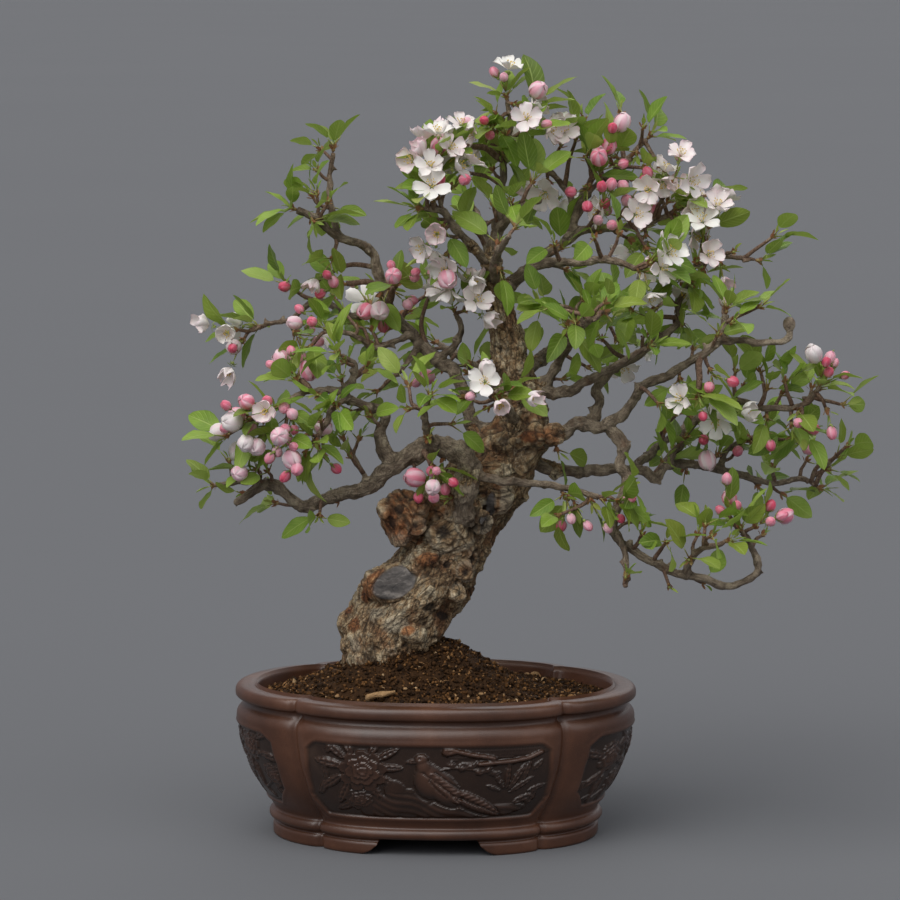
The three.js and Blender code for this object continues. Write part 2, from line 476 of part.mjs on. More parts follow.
function makeFoliage(wood, ends) {
  const placed = [];
  const keep = (body, owner) => placed.push({ body, box: body.boundingBox(), owner });
  const free = (body, owner) => {
    const box = body.boundingBox();
    return placed.every((o) => o.owner === owner || !touches(box, o.box) || o.body.intersect(body).isEmpty());
  };
  keep(wood, "wood");
  const shoots = SPRAYS.map(([host, leaves, flowers], n) => {
    const { tip, axis, radius } = ends[host];
    const foot = tip.clone().addScaledVector(axis, GAP);
    const top = foot.clone().addScaledVector(axis, SHOOT_LENGTH);
    const body = limb([foot, top], [Math.min(2.3, radius), 2], 4);
    keep(body, `spray${n}`);
    return { foot, top, axis, body, leaves, flowers, n };
  });
  const umbels = shoots.filter((s) => s.flowers).map((shoot) => {
    const base = { foot: shoot.top.clone().addScaledVector(shoot.axis, GAP), axis: shoot.axis };
    const stub = limb([base.foot, base.foot.clone().addScaledVector(base.axis, 2.8)], [2, 1.8], 4);
    const parts = [stub];
    const heads = [];
    [...shoot.flowers].forEach((kind, k) => {
      for (let trial = 0; trial < TRIALS; trial++) {
        const plan = flowerPlan(base, shoot.n, k, trial, kind);
        const wide = flowerBody(plan, 0.35);
        const head = flowerBody(plan, 0.2, true);
        if (!free(wide, `umbel${shoot.n}`) || !heads.every((h) => h.intersect(head).isEmpty())) continue;
        heads.push(head);
        parts.push(flowerBody(plan));
        keep(wide, `umbel${shoot.n}`);
        break;
      }
    });
    keep(stub, `umbel${shoot.n}`);
    return { n: shoot.n, body: join(parts), open: shoot.flowers.includes("o"), count: parts.length - 1 };
  });
  const sprays = shoots.map((shoot) => {
    const parts = [shoot.body];
    for (let k = 0; k < shoot.leaves; k++) {
      for (let trial = 0; trial < TRIALS; trial++) {
        const plan = leafPlan(shoot, shoot.n, k, trial);
        const wide = leafBody(plan, 0.35);
        if (!free(wide, `spray${shoot.n}`)) continue;
        parts.push(leafBody(plan));
        keep(wide, `spray${shoot.n}`);
        break;
      }
    }
    return { n: shoot.n, body: join(parts), count: parts.length - 1 };
  });
  return { umbels, sprays };
}

// ---- the parts, with the middle of their common box over the origin -----------------------------------
const MATERIALS = {
  clay: { color: 0x62443a, roughness: 0.42 },
  earth: { color: 0x32261c, roughness: 0.95 },
  bark: { color: 0x75685a, roughness: 0.85 },
  leaf: { color: 0x6b9632, roughness: 0.45 },
  bud: { color: 0xe08aa0, roughness: 0.5 },
  petal: { color: 0xf0e8e4, roughness: 0.5 },
};

const { wood, ends, buried } = makeWood();
const { umbels, sprays } = makeFoliage(wood, ends);
const two = (n) => String(n + 1).padStart(2, "0");
const bodies = [
  ["pot", "clay", makePot()],
  ["soil", "earth", makeSoil(buried)],
  ["trunk_and_branches", "bark", wood],
  ...sprays.map(({ n, body }) => [`leaf_spray_${two(n)}`, "leaf", body]),
  ...umbels.map(({ n, body, open }) => [`blossom_umbel_${two(n)}`, open ? "petal" : "bud", body]),
];
const box = join(bodies.map((b) => b[2])).boundingBox();
const shift = [-(box.min[0] + box.max[0]) / 2, -(box.min[1] + box.max[1]) / 2, 0];

const group = new THREE.Group();
group.name = "crabapple_bonsai";
for (const [name, finish, body] of bodies) {
  const { vertProperties, triVerts } = body.translate(shift).getMesh();
  const geometry = new THREE.BufferGeometry();
  geometry.setAttribute("position", new THREE.BufferAttribute(vertProperties, 3));
  geometry.setIndex(new THREE.BufferAttribute(triVerts, 1));
  geometry.computeVertexNormals();
  const material = new THREE.MeshStandardMaterial({ ...MATERIALS[finish], name: finish });
  const mesh = new THREE.Mesh(geometry, material);
  mesh.name = name;
  group.add(mesh);
}

export default group;
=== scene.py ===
# %% [markdown]
# # A crabapple bonsai in flower, in its clay pot
#
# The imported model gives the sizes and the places: a pot, its soil, the wood, and the leafy sprays and
# umbels at the ends of the twigs. This lesson dresses them: bark, leaf blades with teeth and veins, petals,
# stamens, fired clay with a relief, and loose grains of soil. Everything is worked out in millimetres
# about the middle of the pot and becomes metres when a piece is finished.

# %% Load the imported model
import math

import bmesh
import bpy
import numpy as np
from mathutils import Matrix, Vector, noise
from mathutils.bvhtree import BVHTree
from mathutils.kdtree import KDTree


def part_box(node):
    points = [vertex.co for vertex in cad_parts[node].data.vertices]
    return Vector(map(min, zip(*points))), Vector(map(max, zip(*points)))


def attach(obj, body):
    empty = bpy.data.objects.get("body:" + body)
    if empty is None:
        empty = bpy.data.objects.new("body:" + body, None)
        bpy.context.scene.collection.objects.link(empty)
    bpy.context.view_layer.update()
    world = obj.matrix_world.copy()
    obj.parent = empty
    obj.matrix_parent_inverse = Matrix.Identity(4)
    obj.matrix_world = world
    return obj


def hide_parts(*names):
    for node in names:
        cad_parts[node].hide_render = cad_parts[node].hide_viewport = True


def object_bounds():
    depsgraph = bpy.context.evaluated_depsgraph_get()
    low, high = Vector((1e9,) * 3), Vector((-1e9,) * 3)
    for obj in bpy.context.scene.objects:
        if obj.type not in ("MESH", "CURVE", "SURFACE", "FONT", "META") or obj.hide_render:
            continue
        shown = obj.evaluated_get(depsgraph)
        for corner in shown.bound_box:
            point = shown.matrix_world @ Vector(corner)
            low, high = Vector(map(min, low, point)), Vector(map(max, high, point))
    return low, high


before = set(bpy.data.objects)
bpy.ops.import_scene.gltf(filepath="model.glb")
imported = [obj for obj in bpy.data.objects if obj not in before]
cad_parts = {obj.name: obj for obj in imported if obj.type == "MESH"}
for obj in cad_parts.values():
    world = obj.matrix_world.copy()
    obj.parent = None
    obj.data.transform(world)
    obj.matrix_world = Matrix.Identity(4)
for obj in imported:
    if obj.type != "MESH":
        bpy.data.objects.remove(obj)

cad_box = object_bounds()
pot_low, pot_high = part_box("pot")
POT_MIDDLE = np.array([(pot_low.x + pot_high.x) / 2, (pot_low.y + pot_high.y) / 2, 0.0])
print("box of the solids:", [round(x, 3) for corner in cad_box for x in corner])

# %% [markdown]
# ## Small tools
#
# Most of what grows is a skin: a grid of faces whose corners are put where a formula says, from two
# numbers, u across and v along. A grid rolled into a tube has a seam and two ends, and merging the doubled
# corners closes them. Leaves, petals and grains repeat one small pattern many times, so the pattern is made
# once, copied, and every copy gets its own corner places in one go.

# %% Skins, patterns and copies
FULL_TURN = 2 * np.pi
FIFTH = 1.2566  # of a turn, from one petal to the next
GOLDEN = 2.39996  # angle from one leaf of a shoot to the next


def unit(v):
    v = np.asarray(v, float)
    return v / np.maximum(np.linalg.norm(v, axis=-1, keepdims=True), 1e-9)


def turned_off(v, axis):
    """The part of v that stands square to the axis, one long."""
    return unit(v - axis * np.dot(v, axis))


def length_of(points):
    return np.linalg.norm(np.diff(points, axis=0), axis=1).sum()


def radius_at(radii, t):
    """Radius at t, from 0 to 1, of a limb with evenly spread radii."""
    return np.interp(t, np.linspace(0, 1, len(radii)), radii)


def skin(across, along, place=None, tube=False):
    """Mesh of a grid, its corners at place(u, v); a tube is closed along its seam and at its ends."""
    bm = bmesh.new()
    bm.loops.layers.uv.new("UVMap")
    bmesh.ops.create_grid(bm, x_segments=across, y_segments=along, size=0.5, calc_uvs=True)
    uv = np.array([v.co[:2] for v in bm.verts]) + 0.5
    u, v = uv.T
    if place is not None:
        spots = place(u, v)
    elif tube:
        r = np.sin(np.pi * np.clip(v, 0, 1))
        spots = np.stack([r * np.cos(FULL_TURN * u), r * np.sin(FULL_TURN * u), v], -1)
    else:
        spots = np.stack([u, v, 0 * u], -1)
    keep_u, keep_v = (bm.verts.layers.float.new(name) for name in "uv")
    for vert, spot, a, b in zip(bm.verts, spots.tolist(), u.tolist(), v.tolist()):
        vert.co = spot
        vert[keep_u] = a
        vert[keep_v] = b
    if tube:
        bmesh.ops.remove_doubles(bm, verts=bm.verts, dist=1e-4)
    return to_mesh(bm)


def to_mesh(bm, name="pattern"):
    mesh = bpy.data.meshes.new(name)
    bm.to_mesh(mesh)
    bm.free()
    return mesh


def values(mesh, name):
    out = np.zeros(len(mesh.vertices), np.float32)
    mesh.attributes[name].data.foreach_get("value", out)
    return out.astype(float)


def corners(mesh):
    out = np.zeros(len(mesh.vertices) * 3, np.float32)
    mesh.vertices.foreach_get("co", out)
    return out.reshape(-1, 3).astype(float)


def cross_and_along(pattern):
    """From -1 to 1 across a pattern, and from 0 to 1 along it, for each of its corners."""
    return values(pattern, "u") * 2 - 1, values(pattern, "v")


def mark(mesh, **given):
    """Writes numbers for each corner of a mesh, which a material can read by name."""
    for name, numbers in given.items():
        layer = mesh.attributes.get(name) or mesh.attributes.new(name, "FLOAT", "POINT")
        layer.data.foreach_set("value", np.asarray(numbers, np.float32).ravel())


def copies(pattern, spots, **given):
    """One mesh of many copies of a pattern; spots is (copies, corners of the pattern, 3)."""
    bm = bmesh.new()
    for _ in range(len(spots)):
        bm.from_mesh(pattern)
    mesh = to_mesh(bm)
    mesh.vertices.foreach_set("co", spots.astype(np.float32).ravel())
    mark(mesh, **{k: np.broadcast_to(v, spots.shape[:2]) for k, v in given.items()})
    return mesh


def merged(meshes):
    bm = bmesh.new()
    for mesh in meshes:
        bm.from_mesh(mesh)
    return to_mesh(bm)


def piece(name, mesh, finish, stands_for=()):
    """Turns a mesh in millimetres about the pot's middle into a finished piece on the model's body."""
    mesh.vertices.foreach_set("co", (corners(mesh) / 1000 + POT_MIDDLE).astype(np.float32).ravel())
    mesh.name = name
    mesh.materials.clear()
    mesh.materials.append(finish)
    mesh.shade_smooth()
    mesh.update()
    made = bpy.data.objects.new(name, mesh)
    bpy.context.scene.collection.objects.link(made)
    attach(made, "root")
    if stands_for:
        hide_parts(*stands_for)
    mesh.calc_loop_triangles()
    print(f"{name}: {len(mesh.loop_triangles)} triangles")
    return made


# %% [markdown]
# ## Materials as expressions
#
# A socket of a material is wrapped in a small class, so that `0.4 + 0.2 * spots` writes the Math nodes by
# itself. Everything else goes through one method, which sets a node's own settings first and then the
# values or links of its sockets.

# %% The shader class and the helpers on it
class Ink:
    """One socket of a material, with plain arithmetic."""

    def __init__(self, tree, socket=None):
        self.tree, self.socket = tree, socket

    def node(self, kind, settings=None, inputs=None, out=0):
        made = self.tree.nodes.new("ShaderNode" + kind)
        for key, value in (settings or {}).items():
            if key == "stops":
                ramp = made.color_ramp.elements
                while len(ramp) < len(value):
                    ramp.new(0.5)
                for stop, (where, colour) in zip(ramp, value):
                    stop.position, stop.color = where, colour
            else:
                setattr(made, key, value)
        for key, value in (inputs or {}).items():
            if isinstance(value, Ink):
                self.tree.links.new(value.socket, made.inputs[key])
            else:
                made.inputs[key].default_value = value
        return Ink(self.tree, made.outputs[out])

    def maths(self, operation, *given, clamp=False):
        return self.node("Math", {"operation": operation, "use_clamp": clamp}, dict(enumerate(given)))

    def __add__(self, other):
        return self.maths("ADD", self, other)

    def __sub__(self, other):
        return self.maths("SUBTRACT", self, other)

    def __rsub__(self, other):
        return self.maths("SUBTRACT", other, self)

    def __mul__(self, other):
        return self.maths("MULTIPLY", self, other)

    __radd__, __rmul__ = __add__, __mul__

    def clip(self):
        return self.maths("ADD", self, 0.0, clamp=True)

    def step(self, low, high):
        """0 where this is under low, 1 over high, smooth between."""
        return self.node("MapRange", {"interpolation_type": "SMOOTHSTEP"},
                         {0: self, 1: low, 2: high, 3: 0.0, 4: 1.0})

    def attribute(self, name, out="Fac"):
        return self.node("Attribute", {"attribute_name": name}, out=out)

    def noise(self, place, scale, detail=3.0, rough=0.55):
        return self.node("TexNoise", {}, {"Vector": place, "Scale": scale, "Detail": detail,
                                          "Roughness": rough})

    def cells(self, place, scale, feature="F1"):
        return self.node("TexVoronoi", {"feature": feature}, {"Vector": place, "Scale": scale})

    def ramp(self, share, *stops):
        """A colour for each value of share; a stop is its place and its red, green and blue."""
        stops = [(where, paint(*colour)) for where, *colour in stops]
        return self.node("ValToRGB", {"stops": stops}, {0: share})

    def mix(self, share, one, other):
        return self.node("Mix", {"data_type": "RGBA"}, {0: share, 6: one, 7: other}, out=2)

    def warp(self, place, scale, amount):
        shift = self.node("TexNoise", {}, {"Vector": place, "Scale": scale}, out=1)
        return self.node("VectorMath", {"operation": "MULTIPLY_ADD"}, {0: shift, 1: (amount,) * 3, 2: place})

    def squeeze(self, place, by):
        return self.node("VectorMath", {"operation": "MULTIPLY"}, {0: place, 1: by})


def paint(red, green, blue):
    """A colour given as on a painter's card, 0 to 255, as the shader wants it."""
    shares = (c / 255 for c in (red, green, blue))
    return (*(c / 12.92 if c < 0.04045 else ((c + 0.055) / 1.055) ** 2.4 for c in shares), 1.0)


def finish_of(name, roughness=0.5, **constants):
    """A new material with its shader, its place on the piece, and an Ink to write with."""
    material = bpy.data.materials.new(name)
    material.use_nodes = True
    tree = material.node_tree
    shader = tree.nodes["Principled BSDF"]
    shader.inputs["Roughness"].default_value = roughness
    for key, value in constants.items():
        shader.inputs[key.replace("_", " ")].default_value = value
    ink = Ink(tree)
    return material, shader, ink, ink.node("TexCoord", out="Object")


def wire(ink, shader, **given):
    for key, value in given.items():
        ink.tree.links.new(value.socket, shader.inputs[key.replace("_", " ")])


def relief_of(ink, *layers):
    """Bump nodes one over the other; each layer is height, strength and depth in metres."""
    normal = None
    for height, strength, depth in layers:
        inputs = {"Strength": strength, "Distance": depth, "Height": height}
        if normal is not None:
            inputs["Normal"] = normal
        normal = ink.node("Bump", {}, inputs)
    return normal


# %% [markdown]
# ## Where the tree is
#
# The elevation of the tree is drawn for a viewer four metres off and a little above, as in the packed
# solids: x to the right of the pot's middle, h up the drawing, and depth behind (+) or before (-) the
# middle. The same drawing gives the camera its place.

# %% The viewer, the drawing of the tree and smooth curves
EYE_DISTANCE, EYE_TILT, EYE_TURN = 4000, math.radians(7.2), math.radians(3)
AIM_X, AIM_Z = 15, 388
SHEET_MIDDLE = 386  # h on the drawing that the viewer looks at
UP = np.array([0.0, 0.0, 1.0])
TURN = np.array([[math.cos(EYE_TURN), -math.sin(EYE_TURN), 0], [math.sin(EYE_TURN), math.cos(EYE_TURN), 0],
                 [0, 0, 1]])
EYE = np.array([AIM_X, -EYE_DISTANCE * math.cos(EYE_TILT), AIM_Z + EYE_DISTANCE * math.sin(EYE_TILT)])


def at(point):
    """Point of the tree in millimetres about the pot's middle, from its place on the elevation."""
    x, h, depth = point
    v = h - SHEET_MIDDLE
    sheet = np.array([x, v * math.sin(EYE_TILT), AIM_Z + v * math.cos(EYE_TILT)])
    return TURN @ (EYE + (sheet - EYE) * ((depth - EYE[1]) / (sheet[1] - EYE[1])))


def on_drawing(point):
    """The place on the elevation at which a point of the tree is seen."""
    off = TURN.T @ point - EYE
    k = EYE_DISTANCE / (off[1] * math.cos(EYE_TILT) - off[2] * math.sin(EYE_TILT))
    return EYE[0] + k * off[0], (EYE[2] + k * off[2] - AIM_Z) / math.cos(EYE_TILT) + SHEET_MIDDLE


def spline(points, t):
    """Places on the smooth curve through the points, for t from 0 to 1."""
    p = np.asarray(points, float)
    p = np.vstack([2 * p[0] - p[1], p, 2 * p[-1] - p[-2]])
    t = np.clip(np.atleast_1d(t), 0, 1) * (len(points) - 1)
    i = np.clip(np.floor(t).astype(int), 0, len(points) - 2)
    f = (t - i)[:, None]
    a, b, c, d = p[i], p[i + 1], p[i + 2], p[i + 3]
    return 0.5 * (2 * b + (c - a) * f + (2 * a - 5 * b + 4 * c - d) * f**2 + (3 * b - a - 3 * c + d) * f**3)


def heading(points, t):
    return unit(spline(points, t + 1e-4) - spline(points, t - 1e-4))[0]


def table(text):
    """Rows of a table, with a comma between the rows and spaces between the columns."""
    def value(word):
        if word.strip("-.0123456789"):
            return word
        return float(word) if "." in word else int(word)

    return [[value(word) for word in row.split()] for row in text.split(",")]


# points on the middle line of the trunk, each with its radius
TRUNK = table("""
-52 118 8 42, -50 150 6 45, -47 178 2 46, -42 206 0 47, -22 236 -2 45, -4 262 -2 43, 9 284 0 40,
19 306 0 41, 31 330 0 42, 47 352 2 41, 66 376 4 38, 82 400 4 31, 87 430 2 23, 79 460 0 18.5,
73 496 2 16.5, 62 536 4 13.5, 55 574 4 10.5
""")
# name, first and last radius, then the points of each limb
LIMBS = {}
for row in """
loop 15 4, 30 318 -30, 28 345 -50, 34 370 -52, 20 386 -46, -8 390 -42, -29 378 -40, -52 361 -42,
-71 346 -44, -104 340 -46, -132 329 -52, -161 351 -58, -173 349 -60, -201 332 -64;
loopFork 5 3, -160 350 -57, -178 353 -50, -196 354 -44, -217 351 -38;
riser 8 3.4, -40 370 -40, -53 388 -37, -56 405 -37, -50 420 -40, -64 430 -46, -89 438 -58, -84 454 -62,
-81 470 -66, -94 480 -74;
riserSide 4.4 2.8, -88 438 -58, -102 428 -72, -110 412 -82, -117 399 -92;
riserLeft 4.6 2.8, -88 440 -58, -112 447 -64, -137 440 -70, -160 428 -76;
thin 3.6 2.6, -64 352 -42, -78 372 -26, -90 394 -14;
upperLeft 14 3.8, 70 398 4, 40 408 14, 31 434 18, 20 464 24, -1 479 28, -30 509 32, -47 531 34,
-56 561 34, -69 590 30, -99 600 22, -118 618 15, -138 626 10;
rearTwig 4.2 2.6, -95 599 24, -104 628 32, -105 660 37, -102 684 40;
sucker 4.4 3, 2 476 27, 20 491 16, 26 508 8, 20 523 2;
brownTwig 3.6 2.6, -16 495 29, -30 471 26, -50 452 20;
leftTwig 5 2.8, -34 515 32, -52 521 40, -85 521 48, -118 536 56, -142 518 64, -172 510 74;
lowTwigLeft 4.4 2.8, -22 500 30, -37 496 18, -60 488 5, -80 500 -8, -104 506 -18;
rightFirst 17 4, 88 390 0, 114 396 -14, 146 410 -22, 172 410 -28, 194 430 -32, 206 448 -34, 240 464 -38,
274 486 -36, 288 503 -32, 291 522 -30;
gallTwig 4.4 3.4, 282 495 -35, 303 495 -36, 328 493 -36, 352 497 -38, 354 508 -38;
rightSecond 9 3.2, 152 409 -24, 163 430 -6, 160 447 6, 176 464 16, 206 483 26, 236 506 34, 246 518 38,
243 533 40, 254 549 44;
rightThird 15 3.2, 84 378 8, 125 366 22, 162 366 26, 201 367 28, 222 359 30, 240 386 28, 262 415 24,
295 435 18, 325 429 13, 364 430 6, 380 444 2;
lowRight 8.5 3.6, 172 411 -27, 189 391 -40, 184 372 -48, 192 354 -54, 178 315 -64, 184 297 -66,
216 275 -70, 255 260 -72, 295 251 -72, 320 262 -68, 318 286 -66, 307 304 -64;
lowRightSub 4.4 2.8, 252 261 -72, 258 280 -84, 272 289 -92, 290 294 -98;
hanging 4 2.8, 182 303 -66, 189 288 -78, 191 266 -86, 190 248 -90;
rightFifth 6 3, 229 370 30, 246 373 44, 281 368 62, 294 388 68, 325 402 78;
rightLow 4.6 2.8, 277 369 60, 306 360 70, 340 353 75, 366 358 78, 381 350 80;
frontTwig 7.5 3, 36 366 -50, 62 356 -62, 88 353 -66, 118 350 -69, 146 345 -74, 164 338 -78;
middle 10 3.2, 90 424 2, 106 446 -4, 118 466 -8, 130 484 -14, 142 508 -20, 149 530 -26;
middleSide 7 3, 108 446 -4, 132 444 -18, 152 456 -32, 180 470 -50, 212 488 -70;
apexLeft 8.5 3.2, 58 566 2, 36 590 -10, 17 613 -20, 6 625 -28, -11 627 -34;
apex 9.5 2.8, 56 570 4, 61 600 4, 65 628 8, 66 652 14, 70 684 20, 75 712 20, 72 735 18;
apexMiddle 6 3.2, 62 606 5, 73 617 -8, 84 630 -24, 106 635 -38;
shelf 9.5 3.2, 62 540 4, 86 562 14, 115 584 25, 150 605 34, 176 608 40, 204 611 44, 235 621 48;
shelfUp 5.4 3.2, 130 592 29, 138 610 33, 143 632 33, 157 656 28;
shelfRear 4.6 2.8, 141 626 36, 132 646 44, 118 660 50, 90 680 58;
topRight 4.2 2.8, 140 618 34, 154 644 50, 182 668 54, 212 697 50;
shelfLow 6.5 3.2, 78 556 10, 104 572 -10, 141 574 -26, 172 577 -38, 200 567 -50;
farRight 3.8 2.6, 250 545 42, 258 568 40, 282 580 36, 304 578 32, 320 576 30;
rear 11 3, 84 420 14, 66 440 66, 48 462 112, 24 480 150, 4 492 182;
rearRight 9 3, 78 458 8, 108 480 58, 138 503 104, 166 520 146, 176 530 176;
rearLow 6 2.8, 200 367 29, 216 384 70, 238 400 110, 252 412 148;
rearTop 7 2.8, 60 545 6, 52 586 50, 46 612 88, 38 630 120;
rearLeft 5.6 2.8, -20 500 30, -32 512 78, -46 522 124, -62 528 162;
frontLeft 6 3, -2 388 -43, -8 405 -62, -11 424 -80, -6 438 -94;
frontMiddle 6.5 3, 82 416 -14, 70 428 -46, 60 437 -74, 55 444 -92;
frontTop 5.4 2.8, 58 556 2, 60 574 -46, 66 590 -86, 75 600 -120;
frontShelf 5 2.8, 124 474 -11, 136 496 -56, 150 512 -96, 164 520 -130
""".split(";"):
    (name, first, last), *points = table(row)
    LIMBS[name] = [first, last, *points]
# name of a spur, its limb, how far along it, and the tip
SPURS = table("""
loopSpur loop 0.36 -4 372 -66, riserSpur riserLeft 0.5 -134 456 -62, leftSpurMiddle upperLeft 0.6 -88 552 20,
leftSpurLow upperLeft 0.54 -40 550 8, rightSpur rightFirst 0.74 264 446 -56, apexSpur apex 0.62 32 690 -12
""")
# leafy sprays of the solids: leaves, then flowers (p bud, b balloon, o open)
SPRAYS = [(*row, "")[:3] for row in table("""
loopFork 4, riserLeft 5 bpbp, riserSpur 4 bpp, riserSide 4, riser 5, thin 4, frontLeft 6,
frontMiddle 4 obp, loopSpur 3 bpp, upperLeft 6, rearTwig 4, leftTwig 5 ob, lowTwigLeft 4 bpp,
leftSpurMiddle 4 pp, sucker 3 ooo, leftSpurLow 3 bpp, rightFirst 5, rightThird 4 ppp, lowRight 4 bpp,
lowRightSub 4, rightFifth 4, rightLow 4, rightSpur 4 po, frontTwig 4 ppp, middle 6, middleSide 5,
apexLeft 4, apex 5 opp, apexSpur 3 ooo, shelfUp 4 bbp, shelfRear 4 oo, shelf 4 ooo, shelfLow 4 oop,
farRight 4, rear 4, rearRight 4, topRight 4
""")]
# sprays that only this dressing adds: limb, how far along it, tip of the twig, leaves, flowers
MORE = [(*row[:2], row[2:5], *row[5:]) for row in table("""
riserLeft 0.9 -205 402 -84 4, loopFork 0.7 -205 372 -50 3, riserLeft 0.8 -150 404 -92 3 bbpp,
riserSide 0.6 -112 385 -60 3, riser 0.75 -70 470 -56 4, brownTwig 0.96 -56 446 18 4,
frontLeft 0.7 -26 448 -70 4, frontLeft 0.4 14 412 -84 5, frontMiddle 0.7 32 438 -74 4,
frontMiddle 0.75 76 446 -78 5, upperLeft 0.88 -108 632 0 4, leftTwig 0.62 -146 550 48 5,
leftTwig 0.85 -140 506 80 3 opp, lowTwigLeft 0.45 -62 504 16 4, lowTwigLeft 0.9 -122 492 -26 4,
upperLeft 0.38 -6 540 20 4, upperLeft 0.66 -122 552 30 3 p, apexLeft 0.6 4 640 -40 4,
apexLeft 0.5 8 604 -30 2 o, apexLeft 0.9 -6 660 -30 4 oob, apex 0.5 30 664 30 4 o, apex 0.66 48 700 40 4,
apex 0.85 96 728 10 5, apex 0.75 88 706 -10 4 op, apex 0.8 60 712 0 3 pp, topRight 0.5 150 715 60 5,
topRight 0.75 186 720 54 5, shelfRear 0.4 140 694 40 5, shelfUp 0.9 172 684 20 4 bp,
topRight 0.6 206 668 36 4, shelf 0.9 236 652 30 3 oop, shelf 0.98 270 640 52 5, farRight 0.8 336 598 24 3,
farRight 0.4 272 606 30 3 oo, farRight 0.3 262 574 28 2 o, shelf 0.8 210 590 20 3 op,
shelf 0.7 190 628 30 4 pp, shelf 0.5 165 628 10 4 pp, apexMiddle 0.7 96 652 -30 5,
shelfLow 0.4 120 590 -44 5, shelfLow 0.7 160 596 -60 5, frontTop 0.5 62 590 -60 4,
frontTop 0.98 78 606 -112 5, middle 0.9 110 530 -40 5, middle 0.8 134 510 -56 6,
frontShelf 0.8 120 528 -88 5, frontShelf 0.98 168 524 -112 6, rightSecond 0.75 200 524 10 5,
rightSecond 0.85 222 528 10 5, rightSecond 0.98 258 556 46 5, rightSecond 0.45 168 496 -10 4,
rightFirst 0.95 322 528 -30 4, rightFirst 0.55 222 434 -60 5, rightThird 0.72 300 462 10 5,
rightThird 0.8 326 462 20 5, rightThird 0.88 350 452 0 4, rightThird 0.97 405 432 2 4,
rightFifth 0.9 350 396 70 5 pp, rightLow 0.9 400 378 76 4, rightLow 0.98 410 388 60 4,
rightLow 0.5 338 366 60 4, lowRightSub 0.6 270 308 -90 4, rightFifth 0.2 240 384 40 3,
lowRight 0.92 326 300 -52 4, lowRight 0.5 206 300 -80 5, lowRight 0.55 230 292 -84 5,
lowRight 0.25 196 352 -68 5, frontTwig 0.98 180 336 -84 5, frontTwig 0.9 126 322 -84 3,
hanging 0.95 190 256 -92 2, rearLow 0.98 254 416 152 5, rearLow 0.5 240 420 90 4,
rearTop 0.98 37 634 124 5, rearTop 0.6 70 622 90 5, rearLeft 0.98 -64 530 166 5 op,
rearLeft 0.6 -56 546 100 5, rearLeft 0.4 -10 540 80 4, rear 0.6 70 480 120 5, rear 0.8 10 470 140 5 bp,
rearRight 0.6 110 530 110 5, rearRight 0.8 180 500 140 5 oo, rearTop 0.35 30 610 40 4,
rear 0.35 36 470 70 4, rearRight 0.4 150 470 60 4
""")]
# limbs that are finished thinner at their foot than their solids: share of the radius that stays
SLIM = dict(table("""
rightFirst 0.45, rightThird 0.46, upperLeft 0.62, rightSecond 0.7, middle 0.75, lowRight 0.75,
frontTwig 0.75, shelf 0.7, apex 0.72, apexLeft 0.7
"""))


def limb_routes():
    """Every limb and twig: its points and its radii, one for each point."""
    routes = {}
    for name, (first, last, *points) in LIMBS.items():
        first = first * SLIM.get(name, 1)
        share = np.linspace(0, 1, len(points))
        routes[name] = (np.array([at(p) for p in points]), first + (last - first) * share**0.7)
    return routes


ROUTES = limb_routes()
TRUNK_ROUTE = np.array([at(p[:3]) for p in TRUNK])
for name, host, t, *tip in SPURS:
    root, end = spline(ROUTES[host][0], t)[0], at(tip)
    ROUTES[name] = (np.array([root, (root + end) / 2 + 0.1 * np.linalg.norm(end - root) * UP, end]),
                    np.array([3.8, 3.3, 3.0]))
twig_dice = np.random.default_rng(7)
for n, (host, t, tip, *_) in enumerate(MORE):
    root, end = spline(ROUTES[host][0], t)[0], at(tip)
    reach = np.linalg.norm(end - root)
    bend = twig_dice.normal(size=3) * 0.09 * reach + 0.05 * reach * UP
    ROUTES[f"twig{n}"] = (np.array([root, root + (end - root) * 0.45 + bend, end]),
                          np.linspace(min(3.0, 2.0 + reach / 60), 1.7, 3))

# %% [markdown]
# ## Clusters and spurs
#
# An old crabapple flowers on short spurs that sit all along its limbs. The clusters that catch the eye are
# listed one by one, each on the limb nearest to it. The rest is a rule: every limb past its bare part carries
# a spur every two or three centimetres, on changing sides, with a whorl of leaves at its end. A well kept
# tree is not closed, so the rule leaves most spurs out in the parts of the crown that are airy.

# %% Listed clusters and the spurs in between
# x and h of the flowers' middle, the flowers, the leaves under them
CLUSTERS = table("""
4 690 ooh 3, -4 668 ooh 2, 0 650 opp 3, 20 664 po 1, 50 712 ohp 3, 82 742 ob 2, 96 722 oh 2, 132 704 oo 3,
112 662 ooh 3, 150 660 pp 2, 163 672 b 2, 172 684 p 1, 180 658 pp 1, 203 656 bo 2, 193 628 poo 2,
162 618 pp 3, 222 655 poo 3, 236 666 oo 2, 242 640 oo 2, 246 622 ohh 2, 214 600 oohp 3, 222 584 oh 2,
268 606 oo 3, 272 570 ohh 2, 284 584 b 2, 2 612 oh 2, 14 574 oooh 3, 0 580 b 2, 34 536 ohh 2,
-24 562 pp 2, -40 556 pp 2, -57 550 bpb 3, -108 570 hp 3, -138 500 bpp 3, -212 512 hh 3, -206 498 hp 2,
-198 422 ppb 2, -184 418 bb 2, -180 404 bbp 2, -165 440 hpp 3, -144 424 pbp 3, -132 412 pp 2,
-176 380 hb 3, -142 384 pp 2, -114 382 p 2, 4 358 bp 1, 6 377 p 1, -12 360 p 1, 6 340 p 0, 66 450 hh 2,
283 462 hpp 3, 285 438 oh 2, 268 420 bp 3, 313 408 p 3, 333 421 p 3, 364 434 p 2, 388 464 ppb 3,
404 424 p 1, 326 320 pppb 3, 288 338 p 3, 134 344 pp 2, 156 344 p 2, 135 326 p 1
""")
